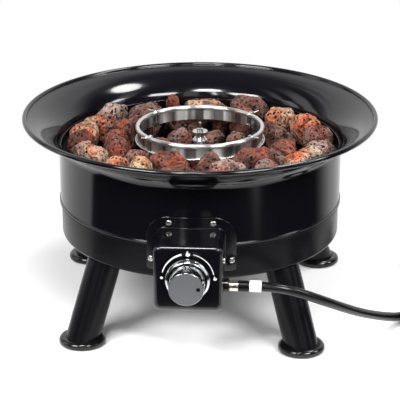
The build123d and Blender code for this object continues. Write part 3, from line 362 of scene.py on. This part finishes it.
# Gas hose: one spline through the free stretch, the coil and the tail
hoseShape = {
    "diameter": 12.6,
    "route": [(74.5, -228, 123), (108.5, -228, 123), (138, -222, 113.5), (166, -207, 97.5), (193, -181, 76.5),
              (221, -145, 52), (250, -102, 28), (282, -59, 7.5), (316, -20, 7.5)],
    "pitch": 13.2, "leastRadius": 50.4, "turnsIn": 6, "turnsOut": 5, "pointsPerHalf": 10,
    "tailRadius": 80, "length": 3.05,
}


def hosePoints(shape):
    route = [Vector(p) for p in shape["route"]]
    points = list(route)
    heading = (route[-1] - route[-2]).normalized()
    inward = Vector((heading.y, -heading.x, 0))
    radii = [shape["leastRadius"] + shape["pitch"] / 2 * k for k in range(shape["turnsIn"], 0, -1)]
    radii += [shape["leastRadius"]]
    radii += [shape["leastRadius"] + shape["pitch"] / 2 * (k + 1) for k in range(shape["turnsOut"])]
    spot = route[-1]
    count = shape["pointsPerHalf"]
    swell = 1 / math.cos(math.pi / 2 / count)      # the spline runs a little inside its points
    for turn, radius in enumerate(radii):
        across = inward * (-1) ** turn
        rise = Vector((0, 0, shape["pitch"] if turn == shape["turnsIn"] else 0))
        for step in range(count):
            a = math.pi * (step + 0.5) / count
            points.append(spot + across * (radius - radius * swell * math.cos(a))
                          + heading * (radius * swell * math.sin(a)) + rise * (1 - math.cos(a)) / 2)
        spot = spot + across * (2 * radius) + rise
        heading = heading * -1
    turnLeft = math.pi / 2 - math.atan2(heading.y, heading.x)
    reach = shape["tailRadius"] * math.tan(turnLeft / 2)
    corner = spot + heading * reach
    points += [spot + heading * reach * 0.4, corner, corner + Vector((0, reach * 0.7, 0)),
               corner + Vector((0, reach + shape["diameter"], 0))]
    return points


def makeHose(shape):
    data = bpy.data.curves.new("gasHose", "CURVE")
    data.dimensions = "3D"
    data.bevel_depth = shape["diameter"] / 2 * mm
    data.bevel_resolution = 5
    data.resolution_u = 6
    data.use_fill_caps = True
    spline = data.splines.new("NURBS")
    points = hosePoints(shape)
    spline.points.add(len(points) - 1)
    for knot, p in zip(spline.points, points):
        knot.co = (p.x * mm, bowlY + p.y * mm, p.z * mm, 1)
    spline.use_endpoint_u = True
    spline.order_u = 3
    hose = bpy.data.objects.new("gasHose", data)
    bpy.context.scene.collection.objects.link(hose)
    data.materials.append(hoseRubber)
    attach(hose, chassis)
    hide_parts("gas_hose", "hose_coil")
    return hose


makeHose(hoseShape)
print("hose laid")


# Turned pieces: a rounded outline (radius, height, rounding in mm) spun round its axle
def turnOutline(name, shape, axle, material, body=chassis):
    centre, along, outward = axle
    corners = shape["outline"]
    bm = bmesh.new()
    verts = [bm.verts.new(centre + outward * r * mm + along * h * mm) for r, h, rounding in corners]
    bm.faces.new(verts)
    bm.verts.ensure_lookup_table()
    roundings = [(vert, rounding) for vert, (r, h, rounding) in zip(verts, corners) if rounding]
    for vert, rounding in roundings:
        bmesh.ops.bevel(bm, geom=[vert], offset=rounding * mm, offset_type="OFFSET", segments=7, profile=0.5,
                        affect="VERTICES", material=-1)
    bmesh.ops.delete(bm, geom=list(bm.faces), context="FACES_ONLY")
    outline = list(bm.verts) + list(bm.edges)
    bmesh.ops.spin(bm, geom=outline, cent=centre, axis=along, dvec=(0, 0, 0), angle=2 * math.pi,
                   steps=shape["steps"], use_merge=True)
    bmesh.ops.remove_doubles(bm, verts=list(bm.verts), dist=mergeGap)
    bmesh.ops.recalc_face_normals(bm, faces=list(bm.faces))
    markSharp(bm)
    piece = newPiece(name, bm, material, body)
    return piece


bowlAxle = (Vector((0, bowlY, 0)), Vector((0, 0, 1)), Vector((1, 0, 0)))

# Bowl: hem, drum, bowed flare and wired lip, outside then inside
bowlShape = {
    "outline": [(190.8, 160.0, 0), (193.2, 160.0, 0.7), (193.2, 163.0, 0.7), (192.0, 163.0, 0.3), (192.0, 243.2, 6.0),
                (210.0, 266.6, 20.0), (235.2, 273.6, 0.8), (236.2, 272.5, 0.6), (241.0, 272.5, 3.4),
                (241.0, 279.5, 3.4), (234.6, 279.5, 3.0), (234.2, 275.2, 0.5), (209.2, 267.6, 20.0),
                (190.8, 243.8, 6.0)],
    "steps": 192,
}
fireBowl = turnOutline("fireBowl", bowlShape, bowlAxle, blackEnamel)
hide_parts("fire_bowl")

# Fire ring: band with a rolled bead on top and a turned-out lower lip
ringShape = {
    "outline": [(84.4, 241.0, 0), (86.5, 241.0, 0.4), (86.5, 242.2, 0.4), (85.6, 242.2, 0.3), (85.6, 255.5, 0.2),
                (88.0, 255.5, 2.4), (88.0, 261.5, 2.9), (82.0, 261.5, 2.9), (82.0, 255.5, 2.4), (84.4, 255.5, 0.2)],
    "steps": 160,
}
fireRing = turnOutline("fireRing", ringShape, bowlAxle, brushedSteel)
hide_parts("fire_ring")

# Knob's skirt: a coned chrome bezel over the flat rim of the solid, with a dark groove round the grip
skirtShape = {
    "outline": [(28.15, -3.6, 0), (28.15, -1.0, 0.9), (25.2, 2.3, 0.6), (24.7, 2.3, 0.2), (24.7, -0.4, 0),
                (27.0, -3.6, 0)],
    "thick": 5.0, "steps": 96,
}
grooveShape = {"outline": [(23.0, -0.3, 0), (24.9, -0.3, 0), (24.9, 0.5, 0), (23.0, 0.5, 0)], "steps": 96}
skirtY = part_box("control_knob")[1][1] - skirtShape["thick"] * mm
skirtAxle = (Vector((0, skirtY, knobZ)), Vector((0, -1, 0)), Vector((1, 0, 0)))
turnOutline("knobSkirt", skirtShape, skirtAxle, chromePlate, body="knob")
turnOutline("knobGroove", grooveShape, skirtAxle, blackPlastic, body="knob")

# Hose end: a nickel sleeve between the gland and the ferrule, with a shallow groove
endLow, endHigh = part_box("hose_fitting")
endLength = (endHigh[0] - endLow[0]) / mm
hoseEndShape = {
    "outline": [(3.2, 0.0, 0), (6.9, 0.0, 0.5), (6.9, 2.4, 0.2), (6.5, 2.7, 0.2), (6.5, 3.3, 0.2), (6.9, 3.6, 0.2),
                (6.9, endLength, 0.5), (3.2, endLength, 0)],
    "steps": 64,
}
hoseEndAxle = (Vector((endLow[0], (endLow[1] + endHigh[1]) / 2, (endLow[2] + endHigh[2]) / 2)), Vector((1, 0, 0)),
               Vector((0, 0, 1)))
hoseEnd = turnOutline("hoseEnd", hoseEndShape, hoseEndAxle, nickelPlate)
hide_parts("hose_fitting")
print("turned pieces made")


# Lava rocks: each CAD stone gets a lumpy, pitted skin; unseeded, the noise would follow the clock
noise.seed_set(11)
rockLook = {
    "detail": 6, "swell": 1.06, "smoothing": 10, "bulge": 3.0, "bulgeSize": 21, "knuckle": 1.9, "knuckleSize": 9,
    "grit": 0.8, "gritSize": 3.4, "warp": 0.55, "warpSize": 8, "sink": 1.9,
    "pitSize": 7.0, "pitDepth": 2.6, "pitWidths": (0.08, 0.52),
    "finePitSize": 3.3, "finePitDepth": 1.0, "finePitWidths": (0.12, 0.5), "finePitShade": 0.7,
    "bulgeShade": 0.35, "crestShade": 0.28,
}
rockColours = {
    "lava_rocks_outer": ["mauve", "orange", "orange", "brown", "orange", "red", "mauve", "pink", "orange", "tan", "red",
                         "pink", "tan", "orange", "cream", "red", "pink", "mauve", "orange", "tan", "pink"],
    # Painted shade: the fourth to sixth stones of the inner row, at the back behind the ring, are dark brown
    "lava_rocks_inner": ["brown", "brown", "red", "brown", "brown", "brown", "red", "red", "red", "mauve", "red",
                         "brown", "red", "mauve", "red"],
    "lava_rocks_core": ["brown", "brown", "mauve", "red", "brown", "red", "brown", "brown"],
}


def looseStones(node):
    bm = bmesh.new()
    bm.from_mesh(nodes[node].data)
    bmesh.ops.remove_doubles(bm, verts=list(bm.verts), dist=mergeGap)
    bm.verts.index_update()
    bm.faces.index_update()
    left, stones = set(bm.verts), []
    while left:
        front = [left.pop()]
        stone = set(front)
        while front:
            for edge in front.pop().link_edges:
                for vert in edge.verts:
                    if vert in left:
                        left.discard(vert)
                        stone.add(vert)
                        front.append(vert)
        stone = sorted(stone, key=lambda v: v.index)
        faces = sorted({f for v in stone for f in v.link_faces}, key=lambda f: f.index)
        centre = sum((v.co for v in stone), Vector()) / len(stone)
        order = {v: i for i, v in enumerate(stone)}
        hull = BVHTree.FromPolygons([v.co.copy() for v in stone], [[order[v] for v in f.verts] for f in faces])
        stones.append((centre, hull))
    bm.free()
    return sorted(stones, key=lambda s: math.atan2(s[0].y - bowlY, s[0].x) % (2 * math.pi))


# A pit opens round some of the cells' centres, each with its own width
def pitAt(p, least, most):
    distances, centres = noise.voronoi(p)
    width = least + (most - least) * (0.5 + 0.5 * noise.noise(centres[0] * 5.3))
    return max(0.0, 1 - (distances[0] / width) ** 2)


def makeRock(name, centre, hull, look, tint, seed):
    bm = bmesh.new()
    bmesh.ops.create_icosphere(bm, subdivisions=look["detail"], radius=1.0)
    for vert in bm.verts:
        direction = vert.co.normalized()
        hit = hull.ray_cast(centre, direction)
        vert.co = centre + direction * (hit[3] if hit[0] else 0.02) * look["swell"]
    for _ in range(look["smoothing"]):
        bmesh.ops.smooth_vert(bm, verts=list(bm.verts), factor=0.5, use_axis_x=True, use_axis_y=True, use_axis_z=True)
    bm.normal_update()
    pits = bm.verts.layers.float.new("pitDepth")
    crests = bm.verts.layers.float.new("crest")
    shift = Vector((seed * 3.1, seed * 1.7, seed * 2.3))
    moves = []
    for vert in bm.verts:
        p = vert.co * 1000
        warp = noise.noise_vector(p / look["warpSize"] + shift) * look["warp"]
        bulge = noise.noise(p / look["bulgeSize"] + shift) * look["bulge"]
        knuckle = (0.5 - abs(noise.noise(p / look["knuckleSize"] - shift))) * look["knuckle"]
        grit = noise.turbulence(p / look["gritSize"] + shift, 3, False) * look["grit"]
        deep = pitAt(p / look["pitSize"] + shift + warp, *look["pitWidths"])
        small = pitAt(p / look["finePitSize"] - shift + warp, *look["finePitWidths"])
        vert[pits] = min(1.0, deep + look["finePitShade"] * small)
        lift = bulge * look["bulgeShade"] + knuckle + grit
        vert[crests] = min(1.0, max(0.0, 0.5 + look["crestShade"] * (lift - 1.0)))
        holes = look["pitDepth"] * deep + look["finePitDepth"] * small
        moves.append((bulge + knuckle + grit - look["sink"] - holes) * mm)
    for vert, move in zip(bm.verts, moves):
        vert.co += vert.normal * move
    return newPiece(name, bm, lavaTints[tint], chassis)


def makeRocks():
    count = 0
    for node, tints in rockColours.items():
        for i, (centre, hull) in enumerate(looseStones(node)):
            count += 1
            name = "".join(w.capitalize() for w in node.split("_"))
            rock = makeRock(name[0].lower() + name[1:] + f"{i + 1:02d}", centre, hull, rockLook,
                            tints[i % len(tints)], count)
            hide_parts(node)
    print("rocks made:", count)


makeRocks()


def makeSpring():
    bm = bmesh.new()
    bm.from_mesh(nodes["stem_spring"].data)
    bmesh.ops.remove_doubles(bm, verts=list(bm.verts), dist=mergeGap)
    markSharp(bm)
    spring = newPiece("returnSpring", bm, brightSteel, chassis)
    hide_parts("stem_spring")
    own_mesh(spring)


makeSpring()
print("spring made")


# Printed marks on the panel: two arcs, a dot and two small flames
printMarks = {"lift": 0.06, "radius": 32.7, "thick": 2.6, "thin": 0.9}


def panelPoint(x, z, lift, base=panelY):
    return Vector((x * mm, base - lift * mm, knobZ + z * mm))


def printArc(name, start, end, startWidth, endWidth):
    bm = bmesh.new()
    radius, lift = printMarks["radius"], printMarks["lift"]
    a = math.radians(start)
    inner = bm.verts.new(panelPoint((radius - 0.5) * math.cos(a), (radius - 0.5) * math.sin(a), lift))
    outer = bm.verts.new(panelPoint((radius + 0.5) * math.cos(a), (radius + 0.5) * math.sin(a), lift))
    edge = bm.edges.new((inner, outer))
    middle = panelPoint(0, 0, lift)
    bmesh.ops.spin(bm, geom=[inner, outer, edge], cent=middle, axis=(0, -1, 0), dvec=(0, 0, 0),
                   angle=math.radians(end - start), steps=28)
    for vert in bm.verts:
        arm = vert.co - middle
        share = (math.degrees(math.atan2(arm.z, arm.x)) % 360 - start) / (end - start)
        width = startWidth + (endWidth - startWidth) * share
        side = 1 if arm.length > radius * mm else -1
        vert.co = middle + arm.normalized() * (radius + side * width / 2) * mm
    bmesh.ops.recalc_face_normals(bm, faces=list(bm.faces))
    return newPiece(name, bm, whiteInk, chassis, smooth=False)


def printShape(name, outline, material, body, base=panelY, rounding=0.0):
    bm = bmesh.new()
    verts = [bm.verts.new(panelPoint(x, z, printMarks["lift"], base)) for x, z in outline]
    bm.faces.new(verts)
    if rounding:
        bmesh.ops.bevel(bm, geom=list(bm.verts), offset=rounding * mm, offset_type="OFFSET", segments=4, profile=0.5,
                        affect="VERTICES", material=-1)
    bmesh.ops.recalc_face_normals(bm, faces=list(bm.faces))
    return newPiece(name, bm, material, body, smooth=False)


def flame(x, z, size):
    shape = [(0.0, -0.5), (0.30, -0.36), (0.40, -0.10), (0.34, 0.20), (0.16, -0.14), (0.06, 0.12), (-0.06, 0.58),
             (-0.22, 0.16), (-0.36, -0.14), (-0.30, -0.38)]
    return [(x + u * size, z + v * size) for u, v in shape]


def roundDot(x, z, size):
    return [(x - size, z - size), (x + size, z - size), (x + size, z + size), (x - size, z + size)]


printArc("printedArcHigh", 104, 167, printMarks["thick"], printMarks["thin"])
printArc("printedArcLow", 10, 78, printMarks["thin"], printMarks["thin"] * 0.8)
printShape("printedFlameHigh", flame(0.0, 33.0, 7.4), whiteInk, chassis, rounding=0.2)
printShape("printedFlameLow", flame(34.0, 0.5, 5.4), whiteInk, chassis, rounding=0.15)
printShape("printedOffDot", roundDot(-33.0, 0.0, 1.7), whiteInk, chassis, rounding=1.69)
printShape("pointerDot", roundDot(15.0, 0.0, 2.6), blackInk, "knob", base=faceY, rounding=2.59)
print("printed marks made")


# Finishes of the CAD pieces that stay
finishes = {
    "gloss": (blackEnamel, ["fire_pan", "control_box"]),
    "satin": (powderCoat, ["base_pan", "leg_front_left", "leg_front_right", "leg_rear_left", "leg_rear_right",
                           "hose_ferrule", "regulator_ferrule"]),
    "plastic": (blackPlastic, ["foot_front_left", "foot_front_right", "foot_rear_left", "foot_rear_right",
                               "hose_collar", "leg_plugs", "tank_nut", "coil_tie"]),
    "chrome": (chromePlate, ["control_knob"]),
    "face": (satinFace, ["knob_face"]),
    "steel": (brushedSteel, ["mixing_tube", "tube_flange"]),
    "wire": (brightSteel, ["ring_hoop", "ring_clips", "ring_struts", "ring_legs", "clip_nuts", "burner_base",
                           "burner_posts", "burner_cap", "burner_stud", "burner_nut", "burner_lock_nut", "box_screws",
                           "leg_bolts", "panel_nut", "thrust_washer"]),
    "brass": (brass, ["valve_body", "valve_stem", "gas_jet", "inlet_union", "regulator_nipple"]),
    "vinyl": (whiteVinyl, ["hose_tag"]),
    "casting": (castZinc, ["regulator_body", "regulator_cover"]),
}
for material, names in finishes.values():
    for name in names:
        nodes[name].data.materials.clear()
        nodes[name].data.materials.append(material)
print("finishes set")


# Floor, light and background
floorLook = {
    "left": -3.0, "right": 3.0, "front": -0.75, "back": 3.0,     # metres
    "glow": 0.04, "nearRadius": 0.27, "farRadius": 0.54,
    "stripLeft": -0.33, "stripRight": 0.46, "stripFront": -0.42, "cornerFront": -0.48,
    "sideFade": 0.08, "frontFade": 0.06, "cornerStart": 0.10, "cornerEnd": 0.26,
    "leftEdge": -0.07, "rightEdge": 0.40, "edgeSpan": 0.4, "fade": 0.03, "drop": 0.0005,
}


# The camera, metal and glass all see the background
def seenRay(tree):
    path = addNode(tree, "ShaderNodeLightPath")
    first = addNode(tree, "ShaderNodeMath", settings={"operation": "MAXIMUM"},
                    links={0: path.outputs["Is Camera Ray"], 1: path.outputs["Is Glossy Ray"]})
    return addNode(tree, "ShaderNodeMath", settings={"operation": "MAXIMUM"},
                   links={0: first.outputs[0], 1: path.outputs["Is Transmission Ray"]}).outputs[0]


def makeStage(look):
    bm = bmesh.new()
    bmesh.ops.create_grid(bm, x_segments=1, y_segments=1, size=0.5)
    bmesh.ops.scale(bm, vec=(look["right"] - look["left"], look["back"] - look["front"], 1.0), verts=list(bm.verts))
    middle = ((look["left"] + look["right"]) / 2, (look["front"] + look["back"]) / 2, -look["drop"])
    bmesh.ops.translate(bm, vec=middle, verts=list(bm.verts))
    mesh = bpy.data.meshes.new("floor")
    bm.to_mesh(mesh)
    bm.free()
    floor = bpy.data.objects.new("floor", mesh)
    bpy.context.scene.collection.objects.link(floor)
    material = bpy.data.materials.new("whitePaperSweep")
    material.use_nodes = True
    tree = material.node_tree
    tree.nodes.clear()
    # Paper with the object's shadow close by, and plain white further out
    paper = addNode(tree, "ShaderNodeBsdfDiffuse", inputs={"Color": hexColour("#F2F2F2")})
    white = addNode(tree, "ShaderNodeEmission", inputs={"Color": (1, 1, 1, 1), "Strength": 1.0})
    place = addNode(tree, "ShaderNodeTexCoord").outputs["Object"]
    centred = addNode(tree, "ShaderNodeMapping", inputs={"Location": (0, -bowlY, 0)}, links={"Vector": place})
    away = addNode(tree, "ShaderNodeVectorMath", settings={"operation": "LENGTH"},
                   links={0: centred.outputs["Vector"]})
    share = addNode(tree, "ShaderNodeMapRange", settings={"interpolation_type": "SMOOTHSTEP"},
                    inputs={"From Min": look["nearRadius"], "From Max": look["farRadius"], "To Min": look["glow"]},
                    links={"Value": away.outputs["Value"]})
    seen = addNode(tree, "ShaderNodeMath", settings={"operation": "MULTIPLY"},
                   links={0: seenRay(tree), 1: share.outputs["Result"]})
    both = addNode(tree, "ShaderNodeMixShader", links={0: seen.outputs[0], 1: paper.outputs[0], 2: white.outputs[0]})
    # The paper is a strip in front and wide behind, with soft edges
    spot = addNode(tree, "ShaderNodeSeparateXYZ", links={0: place})
    fades = [addNode(tree, "ShaderNodeMapRange", settings={"interpolation_type": "SMOOTHSTEP"},
                     inputs={"From Min": look[side] + outward, "From Max": look[side]},
                     links={"Value": spot.outputs["X"]}).outputs["Result"]
             for side, outward in (("stripLeft", -look["sideFade"]), ("stripRight", look["sideFade"]))]
    across = addNode(tree, "ShaderNodeMath", settings={"operation": "MULTIPLY"}, links={0: fades[0], 1: fades[1]})
    nearEdge = addNode(tree, "ShaderNodeMapRange", settings={"interpolation_type": "SMOOTHSTEP"},
                       inputs={"From Min": look["cornerStart"], "From Max": look["cornerEnd"],
                               "To Min": look["stripFront"], "To Max": look["cornerFront"]},
                       links={"Value": spot.outputs["X"]})
    inFrom = addNode(tree, "ShaderNodeMath", settings={"operation": "SUBTRACT"},
                     links={0: spot.outputs["Y"], 1: nearEdge.outputs["Result"]})
    nearFade = addNode(tree, "ShaderNodeMapRange", settings={"interpolation_type": "SMOOTHSTEP"},
                       inputs={"From Min": -look["frontFade"], "From Max": 0.0}, links={"Value": inFrom.outputs[0]})
    strip = addNode(tree, "ShaderNodeMath", settings={"operation": "MULTIPLY"},
                    links={0: across.outputs[0], 1: nearFade.outputs["Result"]})
    edge = addNode(tree, "ShaderNodeMapRange",
                   inputs={"From Min": -look["edgeSpan"], "From Max": look["edgeSpan"],
                           "To Min": look["leftEdge"], "To Max": look["rightEdge"]},
                   links={"Value": spot.outputs["X"]})
    past = addNode(tree, "ShaderNodeMath", settings={"operation": "SUBTRACT"},
                   links={0: spot.outputs["Y"], 1: edge.outputs["Result"]})
    wide = addNode(tree, "ShaderNodeMapRange", settings={"interpolation_type": "SMOOTHSTEP"},
                   inputs={"From Min": -look["fade"], "From Max": look["fade"]}, links={"Value": past.outputs[0]})
    solid = addNode(tree, "ShaderNodeMath", settings={"operation": "MAXIMUM"},
                    links={0: strip.outputs[0], 1: wide.outputs["Result"]})
    clear = addNode(tree, "ShaderNodeBsdfTransparent")
    faded = addNode(tree, "ShaderNodeMixShader", links={0: solid.outputs[0], 1: clear.outputs[0], 2: both.outputs[0]})
    addNode(tree, "ShaderNodeOutputMaterial", links={"Surface": faded.outputs[0]})
    mesh.materials.append(material)


# Studio room: white behind, dim in front and below, with upright bright and dark panels over the horizon;
# the light on matt surfaces comes from the ceiling
roomLook = {
    "ceiling": {"From Min": 0.20, "From Max": 0.75, "To Min": 0.01, "To Max": 0.42},
    "frontal": {"From Min": 0.4, "From Max": -0.6, "To Min": 0.55, "To Max": 1.5},
    "walls": {"From Min": -0.6, "From Max": 0.6, "To Min": 0.02, "To Max": 0.15},
    "panels": {"From Min": 0.50, "From Max": 0.56, "To Min": 0.0, "To Max": 1.3},
    "panelTop": {"From Min": 0.90, "From Max": 0.65},
    "horizon": {"From Min": -0.02, "From Max": 0.04},
    "behind": {"From Min": 0.3, "From Max": 0.7},
    "panelScale": 2.6, "belowHorizon": 0.015, "background": 1.0,
}


def makeWorld(look):
    world = bpy.data.worlds.new("studio")
    bpy.context.scene.world = world
    world.use_nodes = True
    tree = world.node_tree
    tree.nodes.clear()
    way = addNode(tree, "ShaderNodeTexCoord").outputs["Generated"]
    parts = addNode(tree, "ShaderNodeSeparateXYZ", links={0: way})
    ceiling = addNode(tree, "ShaderNodeMapRange", settings={"interpolation_type": "SMOOTHSTEP"},
                      inputs=look["ceiling"], links={"Value": parts.outputs["Z"]})
    frontal = addNode(tree, "ShaderNodeMapRange", settings={"interpolation_type": "SMOOTHSTEP"},
                      inputs=look["frontal"], links={"Value": parts.outputs["Y"]})
    overall = addNode(tree, "ShaderNodeMath", settings={"operation": "MULTIPLY"},
                      links={0: ceiling.outputs["Result"], 1: frontal.outputs["Result"]})
    room = addNode(tree, "ShaderNodeMapRange", settings={"interpolation_type": "SMOOTHSTEP"},
                   inputs=look["walls"], links={"Value": parts.outputs["Y"]})
    turn = addNode(tree, "ShaderNodeMath", settings={"operation": "ARCTAN2"},
                   links={0: parts.outputs["X"], 1: parts.outputs["Y"]})
    panels = addNode(tree, "ShaderNodeTexNoise", settings={"noise_dimensions": "1D"},
                     inputs={"Scale": look["panelScale"], "Detail": 1.0}, links={"W": turn.outputs[0]})
    panelRange = addNode(tree, "ShaderNodeMapRange", settings={"interpolation_type": "SMOOTHSTEP"},
                         inputs=look["panels"], links={"Value": panels.outputs["Fac"]})
    lowDown = addNode(tree, "ShaderNodeMapRange", settings={"interpolation_type": "SMOOTHSTEP"},
                      inputs=look["panelTop"], links={"Value": parts.outputs["Z"]})
    banded = addNode(tree, "ShaderNodeMix", links={"Factor": lowDown.outputs["Result"], "A": room.outputs["Result"],
                                                   "B": panelRange.outputs["Result"]})
    above = addNode(tree, "ShaderNodeMapRange", inputs=look["horizon"], links={"Value": parts.outputs["Z"]})
    walls = addNode(tree, "ShaderNodeMix", inputs={"A": look["belowHorizon"]},
                    links={"Factor": above.outputs["Result"], "B": banded.outputs[0]})
    behind = addNode(tree, "ShaderNodeMapRange", settings={"interpolation_type": "SMOOTHSTEP"},
                     inputs=look["behind"], links={"Value": parts.outputs["Y"]})
    mirrored = addNode(tree, "ShaderNodeMix", inputs={"B": look["background"]},
                       links={"Factor": behind.outputs["Result"], "A": walls.outputs[0]})
    lit = addNode(tree, "ShaderNodeMix", links={"Factor": seenRay(tree), "A": overall.outputs[0],
                                                "B": mirrored.outputs[0]})
    path = addNode(tree, "ShaderNodeLightPath")
    strength = addNode(tree, "ShaderNodeMix", inputs={"B": look["background"]},
                       links={"Factor": path.outputs["Is Camera Ray"], "A": lit.outputs[0]})
    sky = addNode(tree, "ShaderNodeBackground", inputs={"Color": (1, 1, 1, 1)}, links={"Strength": strength.outputs[0]})
    addNode(tree, "ShaderNodeOutputWorld", links={"Surface": sky.outputs[0]})


softboxes = {
    "overheadRight": {"from": (0.75, 0.35, 1.75), "size": (0.6, 0.4), "power": 13, "shape": "ELLIPSE"},
    "overheadFront": {"from": (-0.1, -1.0, 1.9), "size": (0.6, 0.3), "power": 22, "shape": "ELLIPSE"},
    "frontLeft": {"from": (-1.3, -1.6, 1.75), "size": (1.0, 0.8), "power": 62, "shape": "RECTANGLE"},
    "frontRight": {"from": (1.3, -1.6, 1.75), "size": (0.9, 0.8), "power": 50, "shape": "RECTANGLE"},
    "frontStrip": {"from": (-0.35, -2.0, 1.6), "size": (0.12, 1.2), "power": 8, "shape": "RECTANGLE"},
    "rightBox": {"from": (1.7, -0.15, 1.3), "size": (0.3, 0.6), "power": 9, "shape": "RECTANGLE"},
    "leftStrip": {"from": (-1.7, -0.1, 0.8), "size": (0.25, 1.2), "power": 2, "shape": "RECTANGLE"},
}
lampAimZ = 0.18


def makeLights(boxes):
    for name, box in boxes.items():
        data = bpy.data.lights.new(name, "AREA")
        data.shape = box["shape"]
        data.size, data.size_y = box["size"]
        data.energy = box["power"]
        lamp = bpy.data.objects.new(name, data)
        bpy.context.scene.collection.objects.link(lamp)
        lamp.location = Vector(box["from"]) + Vector((0, bowlY, 0))
        lamp.rotation_euler = (Vector((0, bowlY, lampAimZ)) - lamp.location).to_track_quat("-Z", "Y").to_euler()


makeStage(floorLook)
makeWorld(roomLook)
makeLights(softboxes)
bpy.context.scene.view_settings.view_transform = "Standard"
print("stage lit")
